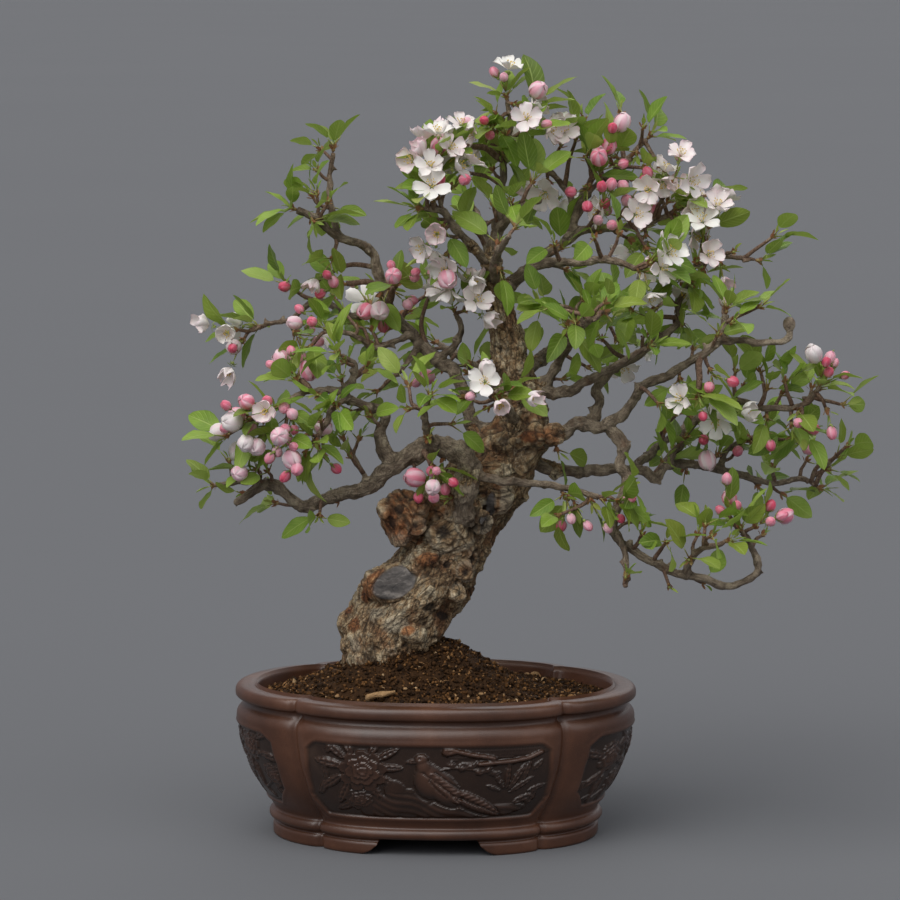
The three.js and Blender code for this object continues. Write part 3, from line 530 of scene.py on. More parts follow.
# the share of a limb that carries no spurs, from its foot
BARE = dict(table("""
loop 0.62, riser 0.3, upperLeft 0.34, rightFirst 0.42, rightThird 0.3, lowRight 0.42, brownTwig 0.7,
gallTwig 0.99, frontTwig 0.5, apex 0.1, hanging 0.9, shelf 0.2
"""))
# the airy parts of the crown, where most spurs have been pruned off: middle, half width and half height
AIRY = table("""
98 603 74 66, 145 415 80 76, -166 486 40 66, -66 560 62 60, -166 632 40 36, 148 280 60 44, 345 270 80 44,
-230 340 44 36, 20 500 44 60, 80 640 60 34, 306 573 40 40, 0 330 60 60
""")
# where leaves have been plucked as well: middle, half width, half height, share of the leaves that is gone
PLUCKED = table("""
187 631 34 30 0.75, 128 631 36 36 0.25, 128 573 40 40 0.55, 305 573 42 42 0.8, -49 573 38 42 0.9,
246 689 46 38 0.9, 187 752 40 36 0.6, -108 515 40 36 0.25, 10 457 40 36 0.35, 69 457 40 38 0.65,
10 399 40 36 0.6, 69 399 42 42 0.9, 423 399 44 40 0.5, -226 341 42 42 0.6, 246 341 40 36 0.5,
305 283 36 34 0.7, 370 276 50 46 1.0, 246 228 80 34 1.0, -108 573 38 36 0.5, -108 689 38 36 0.45
""")
# more leafy twigs where the crown is thick: x, h and leaves
LEAFY = table("""
240 566 5, 262 556 5, 246 520 4, 232 590 4, 250 286 4, 128 346 3, -104 636 4, 126 386 2, 236 574 5,
254 568 5, 226 586 4, 176 690 4, 198 694 4, 60 692 5, 80 704 4, 50 718 4, 150 692 4, 66 572 3, -122 626 4,
356 404 4, 374 396 4, 246 462 3
""")
FARTHEST = (358, 196)  # how far a free leaf may reach, along x and y of the model
HEART = at([70, 470, 0])
grow_dice = np.random.default_rng(31)


def short_twig(name, root, end, first, last):
    bend = grow_dice.normal(size=3) * 0.1 * np.linalg.norm(end - root)
    ROUTES[name] = (np.array([root, (root + end) / 2 + bend, end]), np.linspace(first, last, 3))


def nearest_limb(x, h):
    """Point on the elevation of the limb that is nearest to (x, h), the front ones first."""
    best = None
    for _, _, *points in LIMBS.values():
        line = spline(points, np.linspace(0.1, 1, 60))
        far = np.hypot(line[:, 0] - x, line[:, 1] - h) + 0.12 * line[:, 2]
        k = int(np.argmin(far))
        if best is None or far[k] < best[0]:
            best = (far[k], line[k])
    return best[1]


def within(x, h, patch):
    """Whether (x, h) lies in the ellipse of this middle, half width and half height."""
    return math.hypot((x - patch[0]) / patch[2], (h - patch[1]) / patch[3]) < 1


def twig_to(name, x, h):
    near_x, near_h, near_depth = nearest_limb(x, h)
    root, goal = at([near_x, near_h, near_depth]), at([x, h, near_depth - 20])
    way = unit(unit(goal - root) + 0.35 * UP + np.array([0, -0.25, 0]))
    short_twig(name, root, goal - way * 20, 2.4, 1.7)


for n, (x, h, _, _) in enumerate(CLUSTERS):
    twig_to(f"cluster{n}", x, h)
spur_names = []
for name in LIMBS:
    points, radii = ROUTES[name]
    length = length_of(points)
    for t in np.arange(BARE.get(name, 0.28) * length, length - 8, 24):
        t = (t + grow_dice.uniform(-6, 6)) / length
        root, ahead = spline(points, t)[0], heading(points, t)
        side, x, h = grow_dice.normal(size=3), *spline(LIMBS[name][2:], t)[0][:2]
        if grow_dice.uniform() < 0.8 and any(within(x, h, patch) for patch in AIRY):
            continue
        side = turned_off(side, ahead) + 0.55 * UP + 0.3 * unit((root - HEART) * [1, 1, 0])
        end = root + unit(side + 0.3 * ahead) * (radius_at(radii, t) + grow_dice.uniform(8, 21))
        spur_names.append(f"spur{len(spur_names)}")
        short_twig(spur_names[-1], root, end, 2.1, 1.6)
for n, (x, h, _) in enumerate(LEAFY):
    twig_to(f"leafy{n}", x, h)
print(len(ROUTES), "limbs, twigs and spurs")

# %% [markdown]
# ## Old wood
#
# The trunk of an old crabapple is a column of swellings, cut scars with raised lips, and flaking bark, and
# its limbs grow out of it without a seam. Tubes and lumps alone would show where they meet. So they are
# put into one mesh and remeshed on a fine voxel grid, which makes one skin of them, then smoothed a little
# and roughened corner by corner. The limbs get the same treatment in a piece of their own, with knots and
# stubs of old spurs, and the thin twigs stay plain tubes.

# %% Tubes along the routes
def rings(points, t):
    """Middle and the two cross directions of a tube's rings along a route."""
    middle = spline(points, t)
    ahead = unit(spline(points, t + 1e-3) - spline(points, t - 1e-3))
    normal = np.array([0.3, -0.9, 0.2])
    first = []
    for way in ahead:
        normal = turned_off(normal, way)
        first.append(normal)
    first = np.array(first)
    return middle, first, np.cross(ahead, first)


def tube(points, radii, sides, spacing, swell=None):
    """Closed round skin along a route."""
    count = max(4, int(length_of(points) / spacing))
    t = np.linspace(0, 1, count)
    middle, first, second = rings(points, t)
    size = radius_at(radii, t)

    def place(u, v):
        ring = np.clip(np.round(v * (count + 1)).astype(int) - 1, 0, count - 1)
        a = FULL_TURN * u
        r = size[ring] * (swell(t[ring], a) if swell else 1)
        r = np.where((v < 1e-6) | (v > 1 - 1e-6), 0, r)[:, None]
        return middle[ring] + first[ring] * r * np.cos(a)[:, None] + second[ring] * r * np.sin(a)[:, None]

    return skin(sides, count + 1, place, tube=True)


def ball(centre, radii):
    bm = bmesh.new()
    bmesh.ops.create_icosphere(bm, subdivisions=3, radius=1)
    bmesh.ops.scale(bm, vec=Vector(radii), verts=bm.verts)
    bmesh.ops.translate(bm, vec=Vector(centre), verts=bm.verts)
    return to_mesh(bm)


def remeshed(meshes, voxel, rounds):
    """One skin over all the meshes, smoothed a few rounds."""
    whole = bpy.data.objects.new("wood", merged(meshes))
    bpy.context.scene.collection.objects.link(whole)
    grid = whole.modifiers.new("grid", "REMESH")
    grid.mode, grid.voxel_size = "VOXEL", voxel
    rub = whole.modifiers.new("rub", "SMOOTH")
    rub.factor, rub.iterations = 0.5, rounds
    graph = bpy.context.evaluated_depsgraph_get()
    graph.update()
    mesh = bpy.data.meshes.new_from_object(whole.evaluated_get(graph), depsgraph=graph)
    bpy.data.objects.remove(whole)
    return mesh


def bark_swell(t, a):
    i = t * (len(TRUNK) - 1)
    return np.where(i < 3, 1, 1 + 0.06 * np.sin(3 * a + 1.9 * i) + 0.05 * np.sin(5 * a - 2.3 * i))


# the lumps of the solids come first, the smaller ones only fill in
LUMPS = table("""
-32 318 -28 23 22 29, -44 252 -34 28 15 18, -9 277 -36 15 12 12, -64 244 -16 13 15 15,
-80 212 -6 16 17 17, 8 303 -38 16 12 14, 62 338 -32 17 14 16, -8 260 32 24 18 22, 34 326 34 24 18 22,
46 314 -46 13 11 13, -82 190 -10 13 14 12, -56 198 -36 13 12 12, -22 204 -40 13 12 11,
-46 326 -40 11 11 12, -18 330 -44 13 11 12, -36 300 -40 12 10 11, -19 309 -48 9 8 9, 30 264 -34 10 9 11,
22 243 -32 10 9 10, 96 398 -24 13 12 13, 120 402 -22 12 11 11, 70 392 -26 13 10 13, 84 436 -14 10 10 12,
66 470 -8 9 8 11, 10 250 36 16 12 18, -50 216 36 18 14 16
""")
# the limbs that come out of the trunk itself with a collar of old bark
COLLARED = [name for name, limb in LIMBS.items()
            if limb[0] >= 8.4 and name not in ("rightSecond", "lowRight")]
trunk_parts = [tube(TRUNK_ROUTE, [p[3] for p in TRUNK], 40, 4, bark_swell)]
trunk_parts += [ball(at(row[:3]), row[3:]) for row in LUMPS]
for name in COLLARED:
    points, radii = ROUTES[name]
    reach = min(0.5, (20 + 2.2 * radii[0]) / length_of(points))
    share = np.linspace(0, 1, 12)
    collar = radius_at(radii, share * reach) * (1.34 - 0.4 * share**0.6)
    trunk_parts.append(tube(spline(points, share * reach), collar, 20, 3))
trunk = remeshed(trunk_parts, 1.75, 3)


def twig_swell(ripple):
    return lambda t, a: 1 + 0.16 * np.sin(9 * t + ripple[0] + a)


def limb_swell(ripple):
    return lambda t, a: 1 + 0.09 * np.sin(2 * a + 9 * t + ripple[0]) * np.sin(31 * t + ripple[1])


limb_parts, twig_parts = [], []
knot_dice = np.random.default_rng(21)
for name, (points, radii) in ROUTES.items():
    ripple = knot_dice.uniform(0, 6, 2)
    if name not in LIMBS:
        twig_parts.append(tube(points, radii, 6, 4.2, twig_swell(ripple)))
        continue
    length = length_of(points)
    t = np.linspace(0, 1, max(len(points) * 2, int(length / 10)))
    size = radius_at(radii, t)
    crooked = spline(points, t) + knot_dice.normal(size=(len(t), 3)) * np.clip(size * 0.21, 0.5, 1.7)[:, None]
    crooked[0], crooked[-1] = points[0], points[-1]
    girth = size * knot_dice.uniform(0.86, 1.08, len(t))
    limb_parts.append(tube(crooked, girth, 14 if radii[0] > 6 else 10, 3, limb_swell(ripple)))
    for t in np.arange(9 / length, 0.98, 12 / length):
        t = t + knot_dice.uniform(-4, 4) / length
        size = radius_at(radii, t)
        middle, side = spline(points, t)[0], unit(knot_dice.normal(size=3))
        limb_parts.append(ball(middle + side * size * 0.5, size * knot_dice.uniform(0.62, 0.95, 3)))
        if knot_dice.uniform() < 0.42:
            side = unit(side + 0.3 * UP)
            stub_end = middle + side * (size + knot_dice.uniform(2.5, 6.5))
            stub = np.array([middle, middle + side * size, stub_end])
            limb_parts.append(tube(stub, [2.6, 2.3, 1.7], 8, 2))
limb_parts.append(ball(at([354, 512, -38]), [6.4, 6.2, 7.6]))  # the gall
limbs = remeshed(limb_parts, 2.0, 1)
twigs = merged(twig_parts)
print("trunk skin", len(trunk.vertices), "limb skin", len(limbs.vertices), "twigs", len(twigs.vertices))

# %% [markdown]
# Bark follows the wood under it. For each corner the nearest ring of the limbs is found, and the corner
# gets two numbers from it: how far along the wood it lies and at which side. A noise that is read in these
# numbers, and not in plain space, runs along the limb, as cracks and flakes do.

# %% Grain numbers and rough bark
def grain_of(spots, routes):
    """Three numbers for each corner, two round the wood and one along it, and the wood's radius there."""
    info = []
    for points, radii in routes:
        length = length_of(points)
        t = np.linspace(0, 1, max(4, int(length / 3)))
        along = t * length + 37 * len(info)
        info += np.column_stack([*rings(points, t), along, radius_at(radii, t)]).tolist()
    finder = KDTree(len(info))
    for k, row in enumerate(info):
        finder.insert(row[:3], k)
    finder.balance()
    found = np.array(info)[[finder.find(p)[1] for p in spots.tolist()]]
    off = spots - found[:, :3]
    a = np.arctan2(np.sum(off * found[:, 6:9], 1), np.sum(off * found[:, 3:6], 1))
    forward = np.cross(found[:, 3:6], found[:, 6:9])
    along = found[:, 9] % 977 + np.sum(off * forward, 1)
    return np.stack([found[:, 10] * np.cos(a), found[:, 10] * np.sin(a), along], 1), found[:, 10]


def read(function, spots, *more):
    return np.array([function(p, *more) for p in spots.tolist()])


def normals(mesh):
    mesh.update()
    out = np.zeros(len(mesh.vertices) * 3, np.float32)
    mesh.vertices.foreach_get("normal", out)
    return out.reshape(-1, 3).astype(float)


def soft(x):
    x = np.clip(x, 0, 1)
    return x * x * (3 - 2 * x)


def grained(mesh, grain):
    layer = mesh.attributes.new("grain", "FLOAT_VECTOR", "POINT")
    layer.data.foreach_set("vector", (grain / 1000).astype(np.float32).ravel())


def knot(p):
    """A rounded knot with a dent in its middle in some of the cells of a pattern, nothing in the others."""
    far, where = noise.voronoi(p)
    chosen = (math.sin(where[0].x * 12.9 + where[0].y * 78.2 + where[0].z * 37.7) * 43758.5) % 1
    return (float(soft((0.46 - far[0]) / 0.3)) - 0.9 * float(soft((0.16 - far[0]) / 0.1))) * (chosen > 0.58)


TRUNK_RADII = np.array([p[3] for p in TRUNK])
spots, out = corners(trunk), normals(trunk)
grain, _ = grain_of(spots, [(TRUNK_ROUTE, TRUNK_RADII)] + [ROUTES[name] for name in COLLARED])
lumpy = read(noise.fractal, spots / 25, 1.0, 2.0, 3)
furrow = np.abs(read(noise.noise, grain * [0.085, 0.085, 0.036])) + 0.02 * np.abs(lumpy)
second_furrow = np.abs(read(noise.noise, grain * [0.17, 0.17, 0.075] + 9))
flake = np.mod(2.4 * read(noise.noise, grain * [0.13, 0.13, 0.07] + 40) + 0.7 * lumpy, 1)
crack = np.maximum(np.exp(-((furrow / 0.05) ** 2)), 0.75 * np.exp(-((second_furrow / 0.05) ** 2)))
knots = read(knot, spots / 15.5 + 3)
fine = read(noise.fractal, spots / 5, 0.8, 2.1, 3)

# %% [markdown]
# Marks of the old cuts are put where the drawing has them. A ray from the viewer through the drawing finds
# the place on the bark, and every corner near it is moved and coloured by its distance from the middle of
# the mark: a cut is flat with a raised lip, hollows go in and are painted dark as shade, a burl stands out
# with painted shade in the dips between its bumps. The last few marks are on the back, and their rays come
# from behind.

# %% Scars, rings, burls and hollows
# kind, x, h, half width, half height, tilt, and 1 for a mark on the back
MARKS = table("""
scar -39 253 23 13.5 0.3, callus -64 252 20 8.5 0.86, callus -70 240 5 8 0.2, callus -80 211 9 8 0.0,
callus -85 226 6 7 0.0, callus -27 205 9 5 0.1, callus -8 277 12 7 0.15, ring 10 302 14 15 0.0,
hollow 39 316 18 21 0.1, scar 55 330 5 12 -0.1, pale 73 336 8 18 -0.15, ring 75 346 5 5 0.0,
pale 54 305 5 17 -0.6, ring 30 263 7 8 0.3, ring 24 243 6 7 0.0, ring 38 276 5 6 0.0,
hollow -6 228 8 5 0.0, hollow 10 219 10 4 -0.5, pale -40 212 14 11 0.3, pale -80 191 9 8 0.0,
pale -58 222 10 6 0.3, burl -33 322 24 27 0.0, burl 0 330 18 14 0.0, hollow -35 327 4.5 5 0.0,
hollow -44 314 4 6.5 0.2, hollow -24 338 3.5 4 0.2, pale -34 294 13 8 0.2, ring -19 311 7.5 7.5 0.0,
callus -15 294 6 7 0.0, pale -26 276 11 5 0.5, pale 10 286 12 4 0.35, pale 30 290 14 5 0.5,
hollow 12 272 4 4 0.0, ring 65 486 6 6 0.0, callus 92 470 6 9 0.0, burl 114 400 12 10 0.0,
callus 96 400 12 6 0.0, pale 70 440 8 16 0.1, scar -20 236 15 12 0.3 1, ring 30 300 10 12 0.0 1,
callus -56 210 12 8 0.2 1, burl 30 330 20 20 0.0 1, hollow 40 336 5 6 0.0 1, pale 10 270 12 16 0.3 1,
ring 84 430 7 8 0.0 1, callus 60 372 14 7 0.3 1
""")


def cobbles(p):
    """The bumps of a burl: the distance to the nearest cell, in two sizes."""
    return 0.7 * noise.voronoi(p)[0][0] + 0.5 * noise.voronoi(Vector(p) * 2.3)[0][0]


tree_skin = BVHTree.FromPolygons([Vector(p) for p in spots], [tuple(f.vertices) for f in trunk.polygons])
push = 3.4 * lumpy + 1.15 * flake - 1.9 * crack + 2.5 * knots + 1.0 * fine
push = push - np.mean(push)
masks = {kind: np.zeros(len(spots)) for kind in ("scar", "callus", "hollow", "pale")}
right, eye = TURN @ np.array([1.0, 0, 0]), TURN @ EYE
for kind, x, h, wide, high, tilt, *behind in MARKS:
    start = eye * [1, -1, 1] if behind else eye
    hit, face, *_ = tree_skin.ray_cast(Vector(start), Vector(unit(at([x, h, 0]) - start)))
    if hit is None:
        continue
    hit, face = np.array(hit), np.array(face)
    away = spots - hit
    level = unit(right - face * np.dot(right, face))
    tall = np.cross(face, level) * (1 if np.cross(face, level)[2] > 0 else -1)
    a, b = away @ level, away @ tall
    a, b = a * math.cos(tilt) + b * math.sin(tilt), b * math.cos(tilt) - a * math.sin(tilt)
    frayed = 0.1 * lumpy if kind == "scar" else 0.26 * lumpy + 0.16 * fine
    rho = np.sqrt((a / wide) ** 2 + (b / high) ** 2) + frayed
    near = (np.abs(away @ face) < 22) & (out @ face > 0.0)
    inner = soft((1.08 - rho) / (0.16 if kind == "scar" else 0.36)) * near
    lip = np.exp(-(((rho - 1.14) / 0.16) ** 2)) * near
    small = min(wide, high)
    if kind == "scar":
        flat = -(away @ face) - 1.5
        push = push * (1 - inner) + inner * np.clip(flat, -7, 4) + 2.8 * lip
        masks["scar"] = np.maximum(masks["scar"], inner)
    elif kind == "ring":
        dent = inner * small * 0.42 * soft((0.85 - rho) / 0.5)
        push = push * (1 - 0.5 * inner) - dent + 0.2 * small * lip
        # painted shade: the dented middle of the ring is darkened as if in shadow
        masks["hollow"] = np.maximum(masks["hollow"], soft((0.72 - rho) / 0.4) * near)
        masks["pale"] = np.maximum(masks["pale"], 0.85 * lip)
    elif kind == "hollow":
        push = push * (1 - 0.6 * inner) - inner * small * 0.5
        # painted shade: the dent is darkened nearly black
        masks["hollow"] = np.maximum(masks["hollow"], inner * (1.0 if small < 12 else 0.72))
    elif kind == "burl":
        bud = read(cobbles, spots / 7.5)
        push = push + near * soft(1.25 - rho) * (3.2 - 5.4 * bud)
        masks["callus"] = np.maximum(masks["callus"], near * soft(1.7 - 1.2 * rho) * soft(1.45 - 1.25 * bud))
        # painted shade in the dips between the bumps of the burl
        masks["hollow"] = np.maximum(masks["hollow"], 0.6 * near * soft(1.25 - rho) * soft(2.4 * bud - 1.35))
    elif kind == "callus":
        push = push * (1 - 0.5 * inner) + inner * 1.0
        masks["callus"] = np.maximum(masks["callus"], inner)
    else:
        push = push * (1 - 0.35 * inner) + inner * 1.2
        masks["pale"] = np.maximum(masks["pale"], inner)
trunk.vertices.foreach_set("co", (spots + out * push[:, None]).astype(np.float32).ravel())
# painted light: the bark is lightened where its lumps, flakes and knots stand out and darkened in the dips
lit = 0.5 + 0.9 * np.clip(0.5 * lumpy + 0.35 * (flake - 0.5) + 0.6 * knots + 0.3 * fine, -0.5, 0.5)
mark(trunk, crack=crack * (1 - masks["scar"]), height=lit, **masks)
grained(trunk, grain)

spots, out = corners(limbs), normals(limbs)
grain, size = grain_of(spots, [ROUTES[name] for name in LIMBS])
knobs = read(noise.fractal, spots / 8, 1.0, 2.0, 3)
ribs = read(noise.noise, grain * [0.5, 0.5, 0.13])
amount = np.clip(size / 8, 0.3, 1.3)
push = amount * (1.5 * knobs + 1.0 * ribs)
limbs.vertices.foreach_set("co", (spots + out * push[:, None]).astype(np.float32).ravel())
# painted light: height lightens the limbs on their knobs and darkens them between
mark(limbs, thick=np.clip((size - 2) / 12, 0, 1), height=0.5 + 0.5 * np.clip(knobs, -1, 1))
grained(limbs, grain)
mark(twigs, thick=np.zeros(len(twigs.vertices)), height=np.full(len(twigs.vertices), 0.5))
grained(twigs, corners(twigs) * [1, 1, 0.5])

# %% [markdown]
# Old bark is never one brown. Grey-brown ground, pale flakes, near-black cracks and rust where the
# corky skin has come off each get a mask; hollows, the middles of rings and the dips of burls get near-black
# painted shade, and the bark is painted lighter on its bumps and darker in its dips as painted light. The
# young wood of the limbs is smoother and darker, with pale lenticels and a bloom of grey, and turns red-brown
# in the thinnest twigs.

# %% Bark finishes
old_bark, shader, ink, place = finish_of("old_bark", 0.85)
grain_place = ink.attribute("grain", "Vector")
patch = ink.noise(place, 34, 4, 0.6)
speck = ink.noise(place, 520, 5, 0.7)
fibre = ink.noise(ink.squeeze(grain_place, (1, 1, 0.3)), 380, 5, 0.7)
crust = ink.noise(ink.squeeze(grain_place, (1, 1, 0.5)), 150, 6, 0.68)
height = ink.attribute("height")
plates = ink.cells(ink.warp(ink.squeeze(grain_place, (1, 1, 0.55)), 70, 0.014), 170, "DISTANCE_TO_EDGE")
chaps = ink.cells(ink.warp(place, 150, 0.008), 330, "DISTANCE_TO_EDGE")
fissure = ((1 - plates.step(0.0, 0.13)) * 0.7 + (1 - chaps.step(0.0, 0.11)) * 0.4).clip()
# the height number paints light on the bumps of the bark and shade in its dips
ground = ink.ramp(0.5 * crust + 0.25 * fibre + 0.25 * speck + 0.3 * height - 0.14,
                  (0.3, 66, 47, 32), (0.43, 132, 103, 72), (0.54, 183, 153, 114), (0.67, 226, 208, 174))
ground = ink.mix(patch.step(0.5, 0.64) * 0.55, ground, paint(140, 88, 52))
lichen = ink.noise(ink.warp(place, 90, 0.012), 260, 5, 0.7).step(0.53, 0.6)
ground = ink.mix(lichen * (1 - patch).step(0.42, 0.6) * 0.45, ground, paint(218, 205, 178))
ground = ink.mix(ink.attribute("pale") * (0.25 + 0.7 * crust), ground, paint(206, 192, 166))
# the rust is also painted lighter on the bumps and darker in the dips: painted light
rust = ink.ramp(0.5 * crust + 0.3 * fibre + 0.2 * speck + 0.2 * height - 0.1,
                (0.3, 74, 40, 22), (0.46, 142, 84, 46), (0.6, 188, 126, 76), (0.76, 216, 168, 116))
ground = ink.mix(ink.attribute("callus") * 0.9, ground, rust)
scar = ink.attribute("scar")
ground = ink.mix(fissure * 0.72 * (1 - scar), ground, paint(36, 26, 19))
ground = ink.mix(ink.attribute("crack") * 0.75, ground, paint(32, 23, 17))
cut = ink.ramp(ink.noise(ink.squeeze(place, (1, 1, 1.8)), 70, 4, 0.6),
               (0.3, 56, 52, 50), (0.5, 96, 90, 86), (0.68, 150, 142, 134))
ground = ink.mix(scar, ground, cut)
# painted shade: dents, ring middles and the dips of burls are painted near-black
ground = ink.mix(ink.attribute("hollow") * 0.85, ground, paint(26, 19, 15))
rough_part = 1 - 0.85 * scar
wire(ink, shader, Base_Color=ground, Roughness=0.74 + 0.2 * speck - 0.3 * scar,
     Normal=relief_of(ink, (crust * rough_part, 0.85, 0.0035), ((1 - fissure) * rough_part, 0.8, 0.0022),
                      (fibre * rough_part, 0.7, 0.0016), (speck * rough_part, 0.5, 0.0007)))

young_bark, shader, ink, place = finish_of("young_bark", 0.72)
grain_place = ink.attribute("grain", "Vector")
along = ink.noise(ink.squeeze(grain_place, (1, 1, 0.3)), 380, 5, 0.65)
patch = ink.noise(place, 55, 4, 0.6)
speck = ink.noise(place, 800, 4, 0.65)
thick = ink.attribute("thick")
# the height number paints light on the knobs of the limbs and shade between them
tone = 0.4 * along + 0.2 * patch + 0.15 * speck + 0.2 * ink.attribute("height") + 0.05 * thick - 0.02
ground = ink.ramp(tone, (0.28, 60, 49, 39), (0.43, 112, 97, 80), (0.56, 158, 142, 121), (0.72, 206, 193, 171))
twig = ink.ramp(0.5 * along + 0.5 * speck, (0.3, 70, 50, 40), (0.5, 120, 92, 74), (0.72, 176, 150, 126))
ground = ink.mix(thick.step(0.0, 0.14), twig, ground)
ground = ink.mix(patch.step(0.56, 0.68) * 0.5, ground, paint(176, 162, 138))
ground = ink.mix((1 - patch).step(0.56, 0.7) * 0.4, ground, paint(112, 78, 54))
chaps = ink.cells(ink.warp(ink.squeeze(grain_place, (1, 1, 0.7)), 90, 0.01), 260, "DISTANCE_TO_EDGE")
ground = ink.mix((1 - chaps.step(0.0, 0.1)) * 0.45 * thick.step(0.1, 0.5), ground, paint(48, 37, 29))
wire(ink, shader, Base_Color=ground, Roughness=0.62 + 0.25 * patch,
     Normal=relief_of(ink, (along, 0.9, 0.0026), (chaps.step(0.0, 0.2), 0.5, 0.0012), (speck, 0.5, 0.0006)))

piece("old_trunk", trunk, old_bark, ["trunk_and_branches"])
piece("limbs", limbs, young_bark, ["trunk_and_branches"])
piece("twigs", twigs, young_bark)

# %% [markdown]
# ## The pot
#
# A mokko pot: the outline is four lobes that meet in sharp folds, made as one piece with a rolled lip, a
# neck, a shoulder and a moulded foot. One skin goes from the middle of the underside round the foot, up the
# outside, over the lip and down inside to the floor. Its columns and rows stand closer together on the
# panels, where the relief is pressed in: the height of the relief at each corner moves the corner in or out.

# %% Outline and profile of the pot
HALF_X, HALF_Y = 200, 143  # reach of the outline from which every row is scaled
SIDE_LOBE, FRONT_LOBE = (88, 112), (165, 143, 2.6)
POT_OUTSIDE = table("""
0 162.4 117, 0.8 163.6 117.8, 3 164.2 118.2, 10.5 164.2 118.2, 12 163.4 117.6, 13 161.6 116.3,
14 160.6 115.6, 15.4 162.4 116.9, 17.6 166.6 120.3, 20 168.2 121.6, 22.6 168 121.4, 25 166.6 120.2,
26.6 164.4 118.2, 28 163 117, 34 166.6 119.6, 54 181 130, 84 194.5 139, 106 199.5 142.5, 118 200.6 143.6,
124 200.2 143.2, 128 198 141.5, 131 194.6 139.2, 133 192.4 137.4, 135.6 191.6 136.8, 138 192.6 137.6,
139.2 196.6 140.6, 140.2 200.4 143.4, 142 201.7 144.4, 146.6 201.7 144.4, 149.6 200.4 143.3,
151.4 197.8 141.2, 152.2 193.6 137.4, 152.3 187 131
""")
POT_INSIDE = [[151.6, 183, 127.5], [150.2, 180, 124.8], [148, 178, 123], [64, 160, 111], [31, 146, 101]]
PANEL_DEPTH = 2.6
# heights and half widths of the panels between them
FRONT_PANEL = [38, 58, 84, 107, 115], [100, 117, 121, 121, 113]
SIDE_PANEL = [40, 58, 84, 106, 114], [62, 80, 86, 86, 78]
HOLE_REACH, HOLE_RADIUS = 78, 13  # the drain holes: how far they lie from the middle, and their size
EXTRA_ROWS = 11  # rows of the underside that go round the holes


def lobes(angle):
    """Reach of the outline; a soft maximum keeps the folds where two lobes meet sharp but not torn."""
    off, radius = SIDE_LOBE
    side = off * np.abs(np.cos(angle)) + np.sqrt(np.maximum(radius**2 - (off * np.sin(angle)) ** 2, 0))
    w, d, n = FRONT_LOBE
    front = (np.abs(np.cos(angle) / w) ** n + np.abs(np.sin(angle) / d) ** n) ** (-1 / n)
    return np.log(np.exp((side - 150) / 0.9) + np.exp((front - 150) / 0.9)) * 0.9 + 150


def evenly(total, *read_off):
    """Reads something off at even steps of a length, the steps one long."""
    return np.interp(np.linspace(0, total[-1], int(total[-1]) + 1), total, *read_off)


def even_angles():
    """Angles of the columns: close together on the panels and at the folds, wide apart between them."""
    a = np.linspace(-math.pi, math.pi, 14401)
    x, y = lobes(a) * np.cos(a), lobes(a) * np.sin(a)
    step = np.hypot(np.diff(x), np.diff(y))
    xm, ym = (x[1:] + x[:-1]) / 2, (y[1:] + y[:-1]) / 2
    front, side = (np.abs(ym) > 100) & (np.abs(xm) < 124), (np.abs(ym) < 90) & (np.abs(xm) > 120)
    fold = np.hypot(np.abs(xm) - FOLD[0], np.abs(ym) - FOLD[1]) < 10
    dense = np.select([front, side, fold], [1 / 1.42, 1 / 1.95, 1 / 1.6], 1 / 5)
    total = np.concatenate([[0], np.cumsum(step * dense)])
    return evenly(total, a)


quarter = np.linspace(0.02, 1.5, 4000)
fold_at = quarter[int(np.argmax(np.diff(lobes(quarter), 2))) + 1]
FOLD = (lobes(fold_at) * math.cos(fold_at), lobes(fold_at) * math.sin(fold_at))
print("the lobes meet at", [round(float(c), 1) for c in FOLD])


def profile_rows():
    """Height, half width, half depth of every row, from the middle of the underside to the inner floor."""
    around_holes = [[15, r, 0.7 * r] for r in np.linspace(60, 96, EXTRA_ROWS + 1)]
    rows = [np.array([[15, 0.01, 0.01], *around_holes, [15, 120, 84], [15, 146, 101], [12, 147.6, 102.6],
                      [1.2, 148.8, 103.6], [0, 150, 104.6], [0, 157, 111]])]
    outer = np.array(POT_OUTSIDE, float)
    t = np.linspace(0, 1, 4800)
    curve = spline(outer, t)
    step = np.linalg.norm(np.diff(curve, axis=0), axis=1)
    dense = np.where((curve[1:, 0] > 36) & (curve[1:, 0] < 117), 1 / 1.4, 1 / 2.1)
    total = np.concatenate([[0], np.cumsum(step * dense)])
    rows.append(spline(outer, evenly(total, t)))
    inner = spline(np.array(POT_INSIDE, float), np.linspace(0, 1, 9))
    rows += [inner, np.array([[31, 80, 56], [31, 0.01, 0.01]])]
    return np.vstack(rows)


# %% [markdown]
# The relief is a traditional one: peonies with their leaves, a bird on a rock, reeds and a band of cloud,
# drawn here from ellipses, leaf shapes and strokes, each with its height. The highest one wins. Petals are
# highest at their outer edge, so that one row seems to lie over the next.

# %% The relief on the panels
def turned_in(a, z, at_a, at_z, turn):
    da, dz = a - at_a, z - at_z
    return da * math.cos(turn) + dz * math.sin(turn), dz * math.cos(turn) - da * math.sin(turn)


def dome(a, z, at_a, at_z, length, width, turn, height, edge=0.5):
    p, q = turned_in(a, z, at_a, at_z, turn)
    return height * np.maximum(1 - (p / length) ** 2 - (q / width) ** 2, 0) ** edge


